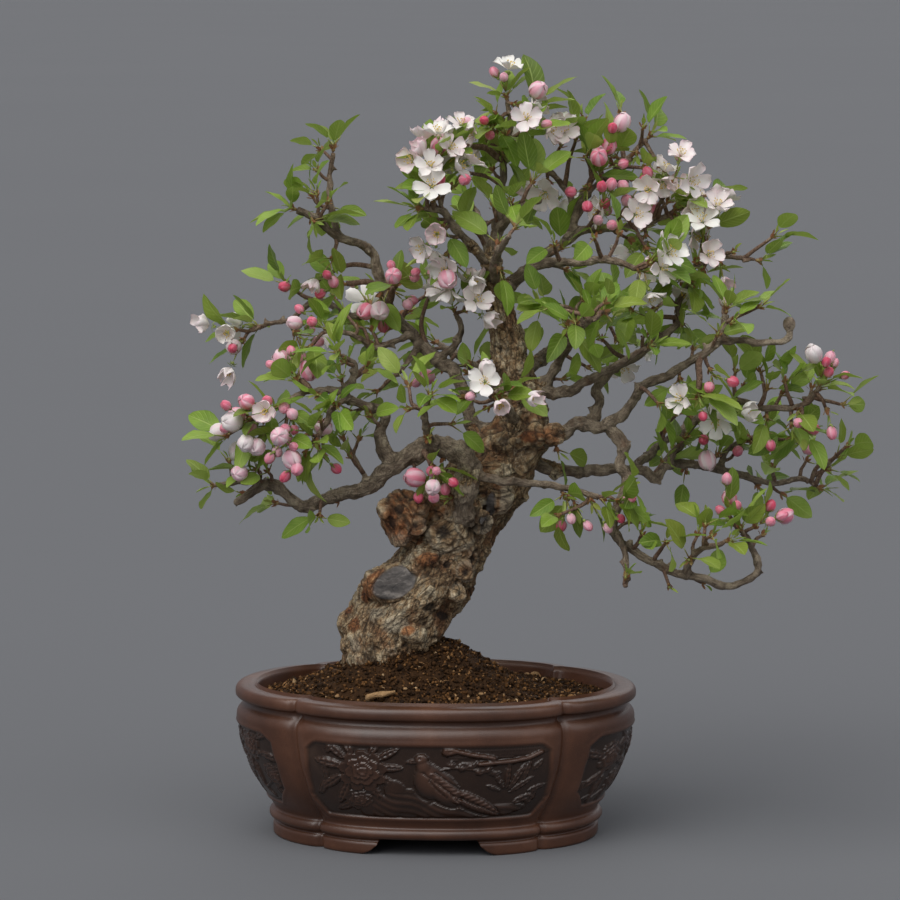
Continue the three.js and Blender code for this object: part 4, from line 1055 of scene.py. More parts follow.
def leaf(a, z, at_a, at_z, length, width, turn, height):
    """Leaf from its foot, with a groove for the midrib and side ribs."""
    p, q = turned_in(a, z, at_a, at_z, turn)
    along, across = p / length, q / width
    inside = np.clip(along, 0, 1)
    half = 2.1 * inside**0.7 * (1 - inside) ** 0.8
    over = np.where((along > 0) & (along < 1), 1 - (across / np.maximum(half, 1e-3)) ** 2, 0)
    ribs = 0.13 * np.sin((p - np.abs(q)) * 1.1)
    return np.maximum(over, 0) ** 0.38 * height * (1 - 0.5 * np.exp(-((q / 0.9) ** 2)) + ribs)


def stroke(a, z, points, width, height):
    best = np.full(a.shape, 1e9)
    for (a0, z0), (a1, z1) in zip(points[:-1], points[1:]):
        t = np.clip(((a - a0) * (a1 - a0) + (z - z0) * (z1 - z0)) / ((a1 - a0) ** 2 + (z1 - z0) ** 2), 0, 1)
        best = np.minimum(best, np.hypot(a - a0 - t * (a1 - a0), z - z0 - t * (z1 - z0)))
    return height * np.sqrt(np.maximum(1 - (best / width) ** 2, 0))


# of a peony: petals in the row, reach, turn, and height at the inner and the outer edge
PETAL_ROWS = [(9, 1.0, 0.2, 0.25, 0.62), (7, 0.7, 0.6, 0.4, 0.84), (5, 0.42, 0.1, 0.55, 1.0),
              (3, 0.2, 0.9, 0.7, 1.08)]


def peony(a, z, at_a, at_z, size, height, squash=1.0):
    """Rows of scalloped petals, the inner ones standing over the outer."""
    p, q = a - at_a, (z - at_z) / squash
    r, turn = np.hypot(p, q), np.arctan2(q, p)
    made = np.zeros(a.shape)
    for count, reach, spin, low, high in PETAL_ROWS:
        wave = np.abs(np.cos(count * (turn - spin) / 2))
        edge = size * reach * (0.78 + 0.22 * wave**0.6)
        share = r / edge
        row = height * (low + (high - low) * np.clip(share, 0, 1) ** 2)
        row = row - 0.55 * np.exp(-((wave / 0.14) ** 2)) * share
        made = np.where(share < 1, np.maximum(row, 0.2), made)
    return made


# leaves of the reliefs: foot, length, width, turn and height
FRONT_LEAVES = table("""
-84 92 30 7 3.0 2.0, -82 100 26 6 2.45 2.0, -74 102 23 5.5 2.0 2.1, -58 102 24 5.5 1.05 2.1,
-50 100 27 5.5 0.5 2.1, -48 92 25 5.5 0.0 1.9, -50 84 22 5.5 5.8 1.8, -86 82 26 6.5 3.8 1.9,
-78 76 26 6.5 4.3 2.0, -56 74 22 6 5.3 2.0, -100 104 15 5 1.3 1.7, -102 76 18 5 4.4 1.7,
-104 92 20 5 4.9 1.6, -60 52 20 5 5.9 1.6, -72 54 20 5 3.6 1.6, 84 55 22 5 0.35 1.7, 96 52 20 5 0.95 1.7,
76 70 24 3.2 2.1 1.9, 78 70 30 3.8 1.45 2.1, 80 69 33 3.8 1.0 2.0, 80 66 30 3.6 0.55 1.8,
94 78 24 3.6 1.2 1.9, 72 68 17 3 2.7 1.6, 98 66 19 3.6 0.3 1.7, 60 86 14 3.4 0.1 1.5, 30 94 11 3 0.4 1.4,
44 92 11 3 0.9 1.4, 104 88 14 4 0.8 1.5, -110 60 16 4 0.9 1.4
""")
BUSH_LEAVES = table("""
-6 80 28 6 3.9 2.0, -14 96 26 6 2.8 2.0, 10 102 24 5.5 0.5 1.9, 12 88 26 6 6.1 1.9, -2 76 26 6 4.6 2.0,
-14 70 22 5 3.3 1.8, 14 56 20 5 5.0 1.7, 30 72 17 5 0.9 1.8, -22 56 19 5 2.2 1.7, -34 80 20 5 1.6 1.7,
-2 56 16 4 3.6 1.6, 30 94 18 5 1.2 1.7, -30 104 16 5 2.4 1.6, 36 84 14 4 5.4 1.6
""")


def figures_front(a, z):
    made = np.zeros(a.shape)
    for blade in FRONT_LEAVES:
        made = np.maximum(made, leaf(a, z, *blade))
    made = np.maximum(made, peony(a, z, -66, 58, 17, 2.3, 0.7))
    flower = peony(a, z, -64, 88, 25, 3.0, 0.88)
    made = np.where(flower > 0, flower, made)
    for rock in [[-40, 51, 28, 13, 0.2, 1.6], [-16, 54, 20, 17, -0.3, 1.5], [14, 48, 36, 9, 0.1, 1.7],
                 [56, 46, 40, 7, 0.1, 1.7], [-32, 68, 11, 12, 0.5, 1.6], [30, 54, 16, 8, -0.2, 1.9]]:
        made = np.maximum(made, dome(a, z, *rock, edge=0.3))
    steps = 0.3 * np.sin(z * 0.85 + 0.3 * a + 2 * np.sin(a * 0.13)) * (z < 66) * (a > -55)
    made = np.where(made > 0.4, made + steps * (made < 1.9), made)
    body = dome(a, z, 14, 73, 25, 14.5, -0.78, 2.8)
    breast = dome(a, z, 2, 79, 15.5, 19, 0.2, 2.8)
    neck = dome(a, z, -3, 93, 8, 10, 0.2, 2.7)
    head = dome(a, z, -5.5, 101, 7, 6.4, 0.0, 2.7)
    tail = leaf(a, z, 20, 70, 58, 11, -0.5, 2.5)
    wing = leaf(a, z, 1, 88, 46, 12.5, -0.8, 3.3)
    bird = np.maximum.reduce([body, breast, neck, head, tail, wing])
    halo = np.maximum.reduce([dome(a, z, 14, 73, 28, 17.5, -0.78, 1), dome(a, z, 2, 79, 18.5, 22, 0.2, 1),
                              dome(a, z, -5.5, 101, 10, 9, 0.0, 1), leaf(a, z, 16, 72, 64, 15, -0.5, 1)])
    made = np.where(halo > 0, made * 0.25, made)
    made = np.maximum(made, leaf(a, z, -8, 100.5, 13, 3.2, 3.35, 2.2))
    made = np.where(bird > 0.2, np.maximum(bird, 1.0), made)
    for line in [[[-4, 88], [6, 80], [16, 72], [26, 64], [36, 60]], [[2, 80], [9, 71], [19, 62]],
                 [[8, 88], [20, 79], [34, 69]], [[30, 62], [50, 52]]]:
        made = made - 1.0 * stroke(a, z, line, 1.1, 1) * (bird > 0.2)
    made = made - 0.9 * dome(a, z, -7.4, 102.4, 1.6, 1.6, 0, 1)
    woven = 0.5 + 0.4 * np.sin((a + z) * 1.25) * np.sin((a - z) * 1.25)
    made = np.maximum(made, woven * ((z > 101 + 0.05 * (a - 40)) & (a > 22)))
    for band in [[[20, 107], [30, 109.5], [44, 106], [60, 103.5], [66, 102]],
                 [[52, 96.5], [66, 97.5], [84, 98.5], [100, 101], [112, 106]],
                 [[18, 111], [24, 112], [30, 109.5]]]:
        made = np.maximum(made, stroke(a, z, band, 2.7, 2.5))
    made = np.maximum(made, dome(a, z, 19, 108.5, 4.6, 4, 0, 2.5))
    made = np.maximum(made, stroke(a, z, [[14, 91], [28, 93], [44, 91], [60, 88]], 1.2, 1.5))
    for x, y in [[24, 96], [34, 92.5], [42, 95], [51, 88], [60, 91]]:
        made = np.maximum(made, peony(a, z, x, y, 4.4, 2.1, 0.8))
    return made


def figures_side(a, z):
    """The same bush three times beside itself, each a little higher or lower."""
    return np.maximum.reduce([bush(a + 56, z + 4), bush(a, z), bush(a - 56, z - 4)])


def bush(a, z):
    made = np.zeros(a.shape)
    for blade in BUSH_LEAVES:
        made = np.maximum(made, leaf(a, z, *blade))
    stems = stroke(a, z, [[-4, 82], [-10, 68], [-4, 52], [2, 43]], 1.6, 1.9)
    made = np.maximum.reduce([made, stems, stroke(a, z, [[-4, 50], [10, 58], [22, 64]], 1.3, 1.7)])
    for at_a, at_z, size, height in [[-2, 94, 16, 2.8], [20, 66, 12.5, 2.5], [-26, 66, 8, 2.1]]:
        flower = peony(a, z, at_a, at_z, size, height)
        made = np.where(flower > 0, flower, made)
    return made


def panel_inset(a, z, heights, halves, figures):
    """How far the clay is pressed in: a panel with cut corners, and its figures standing in it."""
    low, high = heights[0], heights[-1]
    half = np.interp(z, heights, halves)
    qa, qz = np.abs(a) - half + 3, np.abs(z - (low + high) / 2) - (high - low) / 2 + 3
    outside = np.hypot(np.maximum(qa, 0), np.maximum(qz, 0)) + np.minimum(np.maximum(qa, qz), 0) - 3
    floor = soft(-outside / 1.9)
    bead = 0.7 * np.exp(-(((outside - 1.7) / 1.3) ** 2))
    standing = np.clip(figures(a, z), 0, 3.3) * soft((-outside - 1.0) / 2)
    return PANEL_DEPTH * floor - standing - bead, standing


def make_pot():
    angles, levels = even_angles(), profile_rows()
    columns, count = len(angles) - 1, len(levels) - 1
    print("pot of", columns, "columns and", count, "rows")
    notes = {}

    def place(u, v):
        a = angles[np.round(u * columns).astype(int)]
        z, half_x, half_y = levels[np.round(v * count).astype(int)].T
        row = np.round(v * count) - EXTRA_ROWS
        reach = lobes(a)
        fx, fy = reach * np.cos(a), reach * np.sin(a)
        x, y = fx * half_x / HALF_X, fy * half_y / HALF_Y
        wall = (row > 8) & (z > 33) & (z < 122) & (half_x < 201) & (v < 0.9)
        front = np.abs(fy) > 98
        side = (np.abs(fx) > 140) & ~front
        inset_f, raised_f = panel_inset(-np.sign(y) * x, z, *FRONT_PANEL, figures_front)
        inset_s, raised_s = panel_inset(np.sign(x) * y, z, *SIDE_PANEL, figures_side)
        inset = np.where(front, inset_f, np.where(side, inset_s, 0)) * wall
        notes["raised"] = np.where(front, raised_f, np.where(side, raised_s, 0)) * wall / 3.2
        notes["sunk"] = np.clip(np.clip(inset / PANEL_DEPTH, 0, 1) + (notes["raised"] > 0.02) * 0.4, 0, 1)
        fold = np.hypot(np.abs(fx) - FOLD[0], np.abs(fy) - FOLD[1])
        groove = 3.6 * np.exp(-((fold / 3.6) ** 2)) + 1.4 * np.exp(-((fold / 9) ** 2))
        inset = inset + groove * (row > 6) * (v < 0.97)
        x, y = fx * (half_x - inset) / HALF_X, fy * (half_y - inset) / HALF_Y
        # the cut-outs between the feet, front and back
        gap = np.interp(np.abs(x), [0, 40, 47, 49, 51, 58, 66], [16.2, 16.2, 16, 14.5, 10, 4, 0])
        foot = (row > 2) & (z < 16) & (np.abs(fy) > 98) & (np.abs(x) < 66) & (v < 0.5)
        z = np.where(foot, np.maximum(z, gap), z)
        # the drain holes go up into the floor from the underside
        below = (row < 3) & (v < 0.5)
        from_hole = np.maximum(np.hypot(np.abs(x) - HOLE_REACH, y), 0.1)
        bored = below & (from_hole < HOLE_RADIUS)
        snap = (HOLE_RADIUS + np.where(bored, -0.2, 0.2)) / from_hole
        snap = np.where(below & (np.abs(from_hole - HOLE_RADIUS) < 1.5), snap, 1)
        x, y = np.where(x < 0, -1, 1) * (HOLE_REACH + (np.abs(x) - HOLE_REACH) * snap), y * snap
        z = np.where(bored, 29.6, z)
        wobble = (0.35 * np.sin(3 * a + 0.7) + 0.25 * np.sin(5 * a + z * 0.05)) * (z > 3) * (v < 0.9)
        return np.stack([x + wobble * np.cos(a), y + wobble * np.sin(a), z], -1)

    mesh = skin(columns, count, place)
    mark(mesh, raised=notes["raised"], sunk=notes["sunk"])
    bm = bmesh.new()
    bm.from_mesh(mesh)
    bmesh.ops.remove_doubles(bm, verts=bm.verts, dist=0.02)
    bmesh.ops.recalc_face_normals(bm, faces=bm.faces)
    return to_mesh(bm)


# %% [markdown]
# Brown stoneware, rubbed and oiled, has a low even sheen that is strongest on the lip and the shoulder. The
# sheen is broken by a fine grain, the raised figures are painted lighter, partly as rubbed wear and partly as
# a painted highlight, and the ground between them stays nearly black. A paler bloom lies in patches.

# %% Fired clay
fired_clay, shader, ink, place = finish_of("fired_clay", 0.4, Specular_IOR_Level=0.6)
raised, sunk = ink.attribute("raised"), ink.attribute("sunk")
cloudy = ink.noise(place, 14, 4, 0.6)
sand = ink.noise(place, 900, 4, 0.6)
grit = ink.cells(place, 620)
ground = ink.ramp(0.75 * cloudy + 0.25 * sand, (0.3, 58, 33, 20), (0.5, 80, 48, 31), (0.7, 102, 65, 45))
ground = ink.mix(sunk * 0.8, ground, paint(28, 19, 12))
# raised figures painted lighter: partly rubbed wear, partly a painted highlight on the relief
ground = ink.mix(raised.step(0.4, 1.0) * 0.55, ground, paint(82, 56, 43))
ground = ink.mix((1 - grit * 3.4).clip() * 0.2, ground, paint(140, 110, 94))
ground = ink.mix(cloudy.step(0.55, 0.75) * 0.2, ground, paint(106, 84, 70))
wire(ink, shader, Base_Color=ground, Roughness=0.24 + 0.14 * cloudy + 0.12 * sand - 0.06 * sunk,
     Normal=relief_of(ink, (raised, 0.75, 0.003), (cloudy, 0.25, 0.004), (sand, 0.3, 0.0004)))
piece("clay_pot", make_pot(), fired_clay, ["pot"])

# %% [markdown]
# ## Soil
#
# The mix is dark peat with crumbs of bark and lava. A smooth mound alone would look like a cloth, so the
# skin is roughened and several thousand small crumbs lie on it, each a cube of twelve triangles pulled
# out of shape, with its own shade. A few chips, straws and a curled root lie on top.

# %% Mound, grains and litter
def soil_level(x, y):
    return 141 + 58 * np.exp(-((((x + 20) / 90) ** 2 + (y / 82) ** 2) ** 1.3))


def soil_edge(z):
    return (160 + 18 * (z - 64) / 84 - 0.45, 111 + 12 * (z - 64) / 84 - 0.45)


def place_soil(u, v):
    a = FULL_TURN * u - np.pi
    fx, fy = lobes(a) * np.cos(a) / HALF_X, lobes(a) * np.sin(a) / HALF_Y
    top = v > 0.16
    k = np.where(top, 1 - (v - 0.16) / 0.84, 1)
    half_x, half_y = soil_edge(141)
    x, y = fx * half_x * k, fy * half_y * k
    rough = read(noise.fractal, np.stack([x / 11, y / 11, 0 * x + 3.0], -1), 0.9, 2.0, 4)
    z = soil_level(x, y) + 3.2 * rough * np.clip((1 - k) * 14, 0, 1) - 1.2
    low_z = np.interp(v, [0, 0.04, 0.08, 0.16], [31.3, 31.3, 64, 140])
    low_k = np.interp(v, [0, 0.04, 0.08, 0.16], [0, 0.825, 0.905, 1])
    x = np.where(top, x, fx * half_x * low_k)
    y = np.where(top, y, fy * half_y * low_k)
    return np.stack([x, y, np.where(top, z, low_z)], -1)


mound = skin(180, 76, place_soil, tube=True)
mark(mound, tone=np.full(len(mound.vertices), 0.14))

rng = np.random.default_rng(5)


def grain_pattern():
    bm = bmesh.new()
    bmesh.ops.create_cube(bm, size=1.25)
    bmesh.ops.triangulate(bm, faces=bm.faces)
    return to_mesh(bm)


GRAIN = grain_pattern()
round_grain = corners(GRAIN)
count = 7600
a, k = rng.uniform(-np.pi, np.pi, count), np.sqrt(rng.uniform(0, 1, count)) * 0.99
edge_x, edge_y = soil_edge(141)


def strewn(a, k):
    """Place on the mound, from the angle and the share of the way to the rim."""
    return lobes(a) * np.cos(a) * edge_x / HALF_X * k, lobes(a) * np.sin(a) * edge_y / HALF_Y * k


gx, gy = strewn(a, k)
size = np.clip(np.exp(rng.normal(0.42, 0.36, count)), 0.8, 3.4)
inset = 1 - size / 150
gx, gy = gx * inset, gy * inset
gz = soil_level(gx, gy) + rng.uniform(-0.6, 0.6, count) * size
turns = rng.normal(size=(count, 3, 3))
turns = np.linalg.qr(turns)[0]
turns *= np.sign(np.linalg.det(turns))[:, None, None]
stretch = rng.uniform(0.5, 1.2, (count, 1, 3))
bumps = 1 + rng.uniform(-0.28, 0.28, (count, len(round_grain), 1))
spots = (round_grain[None] * stretch * bumps) @ turns * size[:, None, None]
spots = spots + np.stack([gx, gy, gz], 1)[:, None]
tone = np.clip(rng.beta(1.1, 3.8, count) + 0.55 * (rng.uniform(size=count) < 0.03), 0, 1)
grains = copies(GRAIN, spots, tone=tone[:, None])

BIT = skin(2, 5)
bit_u, bit_v = cross_and_along(BIT)


def litter():
    """Straws and slivers strewn on the mound; the chips and the curled root are made apart."""
    many = 110
    a, k = rng.uniform(-np.pi, np.pi, many), np.sqrt(rng.uniform(0.05, 0.92, many))
    x, y = strewn(a, k)
    z = soil_level(x, y) + 1.4
    turn = rng.uniform(0, FULL_TURN, many)
    length, width = rng.uniform(4, 13, many), rng.uniform(0.4, 1.3, many)
    way = np.stack([np.cos(turn), np.sin(turn), rng.uniform(-0.1, 0.25, many)], 1)
    side = unit(np.cross(way, UP))
    bend = rng.uniform(-0.4, 0.4, many)
    v = bit_v[None, :, None]
    spots = (np.stack([x, y, z], 1)[:, None] + way[:, None] * v * length[:, None, None]
             + side[:, None] * ((bit_u * np.sin(np.pi * np.clip(bit_v, 0.06, 0.94)))[None, :, None]
                                * width[:, None, None] + (v - 0.5) ** 2 * (bend * length)[:, None, None])
             + UP * (1.4 * np.sin(np.pi * v)))
    return copies(BIT, spots, tone=rng.uniform(0.55, 1.0, many)[:, None])


root = []  # of a weed: x, h and depth, then how high it stands over the mound
for *point, rise in [[-60, 138, -92, 1.0], [-66, 142, -95, 2.6], [-66, 148, -97, 6.0], [-60, 151, -97, 7.5],
                     [-52, 151, -95, 5.6], [-40, 156, -91, 4.6]]:
    p = at(point)
    root.append([p[0], p[1], soil_level(p[0], p[1]) + rise])
root = np.array(root)
curled = tube(root, [1.2, 2.8, 3.3, 3.0, 3.2, 1.6], 8, 2, lambda t, a: 1 + 0.25 * np.sin(3 * a + 14 * t))
mark(curled, tone=np.full(len(curled.vertices), 0.9))
chips = []
for x, h, depth, size in [[100, 164, 96, 4.2], [109, 164, 99, 3.0], [92, 164, 95, 2.4], [-98, 150, -74, 2.0],
                          [46, 158, -76, 2.2], [20, 160, -88, 1.8], [-30, 160, -84, 2.0]]:
    p = at([x, h, depth])
    chips.append(ball([p[0], p[1], soil_level(p[0], p[1]) + 1.2], [size * 1.2, size, size * 0.7]))
chips = merged(chips)
mark(chips, tone=np.full(len(chips.vertices), 0.9))

potting_mix, shader, ink, place = finish_of("potting_mix", 0.93, Specular_IOR_Level=0.2)
tone = ink.attribute("tone")
dust = ink.noise(place, 700, 4, 0.65)
damp = ink.noise(place, 30, 3, 0.5)
ground = ink.ramp(0.8 * tone + 0.3 * dust - 0.06, (0.08, 34, 21, 9), (0.3, 76, 50, 25), (0.5, 118, 80, 42),
                  (0.72, 164, 122, 78), (0.95, 200, 170, 130))
ground = ink.mix(damp.step(0.45, 0.7) * 0.3, ground, paint(42, 26, 12))
wire(ink, shader, Base_Color=ground, Roughness=0.7 + 0.22 * dust,
     Normal=relief_of(ink, (ink.noise(place, 230, 4, 0.65), 0.8, 0.004), (dust, 0.7, 0.0012)))
piece("soil_mound", mound, potting_mix, ["soil"])
piece("soil_grains", grains, potting_mix)
piece("litter", merged([litter(), curled, chips]), potting_mix)

# %% [markdown]
# ## Where every leaf and flower grows
#
# The solids grew their leaves by rolling repeatable dice and taking the first free place. The same dice are
# rolled here, and the place that was taken is the one whose corners lie on the solid. So each finished leaf
# and flower stands where its solid is; the sprays that only the dressing adds take the first place.

# %% Dice and plans
TRIES = 14  # places that a leaf or flower may take
WIDEST = 0.36  # share of a blade's length at which its solid is widest


def dice(seed):
    state = [seed % 2147483646 + 1]

    def roll():
        state[0] = state[0] * 48271 % 2147483647
        return state[0] / 2147483647

    for _ in range(4):
        roll()
    return roll


def sideways(axis):
    first = turned_off(np.array([axis[2], 0.3, -axis[0]]), axis)
    return first, np.cross(axis, first)


def leaning(axis, lean, turn):
    """A way that leans off the axis to the side of turn, and that side."""
    first, second = sideways(axis)
    out = first * math.cos(turn) + second * math.sin(turn)
    return axis * math.cos(lean) + out * math.sin(lean), out


def turned(v, axis, angle):
    c, s = math.cos(angle), math.sin(angle)
    return v * c + np.cross(axis, v) * s + axis * np.dot(axis, v) * (1 - c)


def leaf_plan(shoot, k, trial):
    roll = dice(shoot["n"] * 7919 + k * 613 + trial * 104729)
    turn = k * GOLDEN + shoot["n"] + (roll() - 0.5) * (0.5 + 0.35 * trial)
    lean = 0.62 + 0.75 * roll() + 0.03 * trial
    way, out = leaning(shoot["axis"], lean, turn)
    way = unit(way + 0.28 * UP)
    facing = turned(turned_off(UP - 0.4 * out, way), way, (roll() - 0.5) * 0.9)
    size = 1 - 0.025 * trial
    root = shoot["foot"] + shoot["axis"] * 8 * (0.3 + 0.5 * roll())
    petiole, blade = (7 + 7 * roll()) * size, 33 * (0.74 + 0.42 * roll()) * size
    return {"root": root, "dir": way, "facing": facing, "petiole": petiole, "blade": blade,
            "width": 0.46 + 0.1 * roll(), "droop": 0.05 + 0.3 * roll(), "young": 0.0}


def flower_plan(shoot, k, trial, kind):
    roll = dice(shoot["n"] * 6007 + k * 811 + trial * 15485 + 77)
    turn = k * GOLDEN + 0.7 * shoot["n"] + (roll() - 0.5) * (0.6 + 0.4 * trial)
    lean = (0.15 if k == 0 else 0.8 if kind == "o" else 0.5) + 0.45 * roll() + 0.04 * trial
    way = unit(leaning(shoot["axis"], lean, turn)[0] + np.array([0, -0.25, 0.2]))
    base = shoot["top"] + shoot["axis"] * 1.7
    return {"root": base + way * 0.4, "dir": way, "stalk": 13 + 11 * roll(), "kind": kind,
            "size": (0.9 + 0.2 * roll()) * (1 - 0.012 * trial), "spin": roll() * 6}


def leaf_marks(plan):
    """Corners of the leaf's solid: the edges at its widest place, and the tip."""
    side = np.cross(plan["dir"], plan["facing"])
    fall, half = plan["facing"] * plan["droop"] * plan["blade"], plan["width"] * plan["blade"] / 2
    middle = plan["root"] + plan["dir"] * (plan["petiole"] + WIDEST * plan["blade"]) - fall * WIDEST**2
    tip = plan["root"] + plan["dir"] * (plan["petiole"] + plan["blade"]) - fall
    return [middle + side * half + plan["facing"] * 0.75, middle - side * half + plan["facing"] * 0.75, tip]


def flower_marks(plan):
    a, b = sideways(plan["dir"])

    def point(s, r, turn):
        return plan["root"] + plan["dir"] * s + (a * math.cos(turn) + b * math.sin(turn)) * r

    size, stalk, spin = plan["size"], plan["stalk"], plan["spin"]
    if plan["kind"] == "o":
        return [point(stalk + 8.5 * size, 17.5 * size, spin + n * FIFTH + 0.28) for n in range(3)]
    length, radius = (11.5 * size, 5 * size) if plan["kind"] == "p" else (18 * size, 9 * size)
    return [point(stalk + 0.66 * length, 0.94 * radius, spin + n * math.pi / 2) for n in range(3)]


def taken(plans, marks_of, solid):
    """The first of the plans whose corners lie on the solid."""
    for plan in plans:
        if all(solid.find_nearest(Vector(p), 0.5)[0] is not None for p in marks_of(plan)):
            return plan
    return None


def solid_of(name):
    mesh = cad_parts[name].data
    spots = (corners(mesh) - POT_MIDDLE) * 1000
    return BVHTree.FromPolygons([Vector(p) for p in spots], [tuple(f.vertices) for f in mesh.polygons])


def free_leaf(shoot, k, size):
    """A leaf of the dressing: it stands out from the shoot and turns its face up and out of the crown."""
    roll = dice(shoot["n"] * 4513 + k * 271 + 11)
    lean = 0.5 + 0.85 * roll()
    way, out = leaning(shoot["axis"], lean, k * GOLDEN + shoot["n"] * 1.7 + (roll() - 0.5) * 0.8)
    outward = unit((shoot["foot"] - HEART) * [1, 1, 0.3])
    way = unit(way + 0.12 * UP + 0.2 * outward)
    facing = UP * (0.25 + 0.6 * roll()) - 0.25 * out + 0.85 * outward * roll()
    facing = turned_off(facing + np.array([roll(), roll(), roll()]) * 0.8 - 0.4, way)
    return {"root": shoot["foot"] + shoot["axis"] * 8 * (0.2 + 0.6 * roll()), "dir": way, "facing": facing,
            "petiole": (8 + 9 * roll()) * size, "blade": (26 + 14 * roll()) * size,
            "width": 0.54 + 0.1 * roll(), "droop": 0.02 + 0.38 * roll(), "young": 0.0}


def plucked(plan, chance):
    """Whether this leaf is left out, by the place where its middle is seen and by how far out it reaches."""
    tip = plan["root"] + plan["dir"] * (plan["petiole"] + plan["blade"])
    x, h = on_drawing(tip - plan["dir"] * plan["blade"] / 2)
    share = max((patch[4] for patch in PLUCKED if within(x, h, patch)), default=0)
    far_x, far_y, _ = np.abs(tip + 1000 * POT_MIDDLE)
    return chance < share or far_x > FARTHEST[0] or far_y > FARTHEST[1]


grown = list(SPRAYS)
grown += [(f"twig{i}", m[3] - 1, (*m, "")[4]) for i, m in enumerate(MORE)]
grown += [(f"cluster{i}", max(c[3] - 1, 0), c[2]) for i, c in enumerate(CLUSTERS)]
grown += [(name, 2 + (i * 7) % 3, "") for i, name in enumerate(spur_names)]
grown += [(f"leafy{i}", row[2], "") for i, row in enumerate(LEAFY)]
leaves, small_leaves, flowers, shoots = [], [], [], []
for n, (host, leaf_count, heads) in enumerate(grown):
    points, radii = ROUTES[host]
    axis = heading(points, 1.0)
    tip = points[-1] if n < len(SPRAYS) else points[-1] - axis * 1.5
    foot = tip + axis * 0.3
    shoot = {"n": n, "axis": axis, "foot": foot, "top": foot + axis * 8, "radius": radii[-1]}
    shoots.append(shoot)
    matched = n < len(SPRAYS)
    solid_leaf = solid_of(f"leaf_spray_{n + 1:02d}") if matched else None
    solid_umbel = solid_of(f"blossom_umbel_{n + 1:02d}") if matched and heads else None
    for k in range(leaf_count * matched):
        plan = taken([leaf_plan(shoot, k, trial) for trial in range(TRIES)], leaf_marks, solid_leaf)
        if plan is not None:
            leaves.append(plan)
    spur = host.startswith("spur")
    for k in range(leaf_count * matched, leaf_count + matched):
        plan = free_leaf(shoot, k, (0.7 + 0.35 * ((k * 37 + n * 11) % 10) / 10) if spur else 1.0)
        if not plucked(plan, dice(n * 97 + k * 13)()):
            leaves.append(plan)
    for k, kind in enumerate(heads):
        plans = [flower_plan(shoot, k, trial, "o" if kind == "h" else kind) for trial in range(TRIES)]
        plan = taken(plans, flower_marks, solid_umbel) if solid_umbel else plans[0]
        if plan is not None:
            plan["size"] *= 1 if matched else 1.13
            plan["close"] = 0.0 if matched else 0.35 * dice(n * 5 + k)()
            if kind == "h":
                plan["close"] = 0.75 + 0.2 * dice(n * 7 + k)()
            flowers.append(plan)
    for k in range(2):
        roll = dice(n * 331 + k * 97 + 5)
        way, out = leaning(axis, 0.2 + 0.45 * roll(), k * 2.6 + n + roll())
        way = unit(way + 0.2 * UP)
        facing = turned_off(UP - 0.9 * out, way)
        small_leaves.append({"root": foot + axis * 5.5, "dir": way, "facing": facing,
                             "petiole": 2 + 2 * roll(), "blade": 9 + 8 * roll(),
                             "width": 0.36, "droop": -0.1 + 0.15 * roll(), "young": 1.0})
print(len(leaves), "leaves,", len(small_leaves), "leaflets,", len(flowers), "flowers,", len(shoots), "shoots")

# %% [markdown]
# ## Leaves
#
# A crabapple leaf is an egg-shaped blade with a short tip and small teeth, folded a little along its
# midrib and arched back. One grid of a few dozen faces is bent into each leaf by its plan. The veins and
# teeth are finer than the grid, so the material draws them from the blade's own map.

# %% Blades, stalks and shoots
def stack(plans, key):
    return np.array([p[key] for p in plans], float)


def blades(plans, seed, across=6, along=8):
    pattern = skin(across, along)
    u, v = cross_and_along(pattern)
    roll = np.random.default_rng(seed)
    n = len(plans)
    root, way, facing = (stack(plans, key)[:, None, :] for key in ("root", "dir", "facing"))
    side = np.cross(way, facing)
    petiole, blade, droop, width, young = (stack(plans, key)[:, None, None] for key in
                                           ("petiole", "blade", "droop", "width", "young"))
    v = 0.55 * v + 0.225 * (1 - np.cos(np.pi * v))
    half = np.sin(np.pi * np.clip(v, 0, 1) ** 0.94) ** 0.64 * (1 - 0.1 * v**4) + 0.006
    half = half[None, :, None] * width * blade / 2
    fold = (0.1 + 0.32 * roll.uniform(size=(n, 1, 1))) * (1 + 1.3 * young)
    twist = roll.uniform(-0.35, 0.35, (n, 1, 1))
    phase = roll.uniform(0, 6.3, (n, 1, 1))
    us, vs = u[None, :, None], v[None, :, None]
    ripple = 0.09 * np.sin(vs * 11 + phase + 1.5 * us) * np.abs(us) ** 2 * half
    lift = half * (np.abs(us) * fold + us * twist * vs) + ripple
    cramp = np.sqrt(np.maximum(1 - fold**2, 0.3))
    spots = (root + way * (petiole + vs * blade) - facing * droop * blade * vs**2
             + side * us * half * cramp + facing * lift)
    shade = np.clip(roll.normal(0.46, 0.2, (n, 1)) + 0.3 * young[:, :, 0], 0, 1)
    warm = np.clip(roll.normal(0.1, 0.25, (n, 1)) + 0.45 * young[:, :, 0] * roll.uniform(size=(n, 1)), 0, 1)
    return copies(pattern, spots, shade=shade, warm=warm)


def round_pattern(pattern):
    """Height and angle of each corner of a tube pattern, and whether it lies off the axis."""
    x, y, z = corners(pattern).T
    return z, np.arctan2(y, x), np.hypot(x, y) > 1e-3


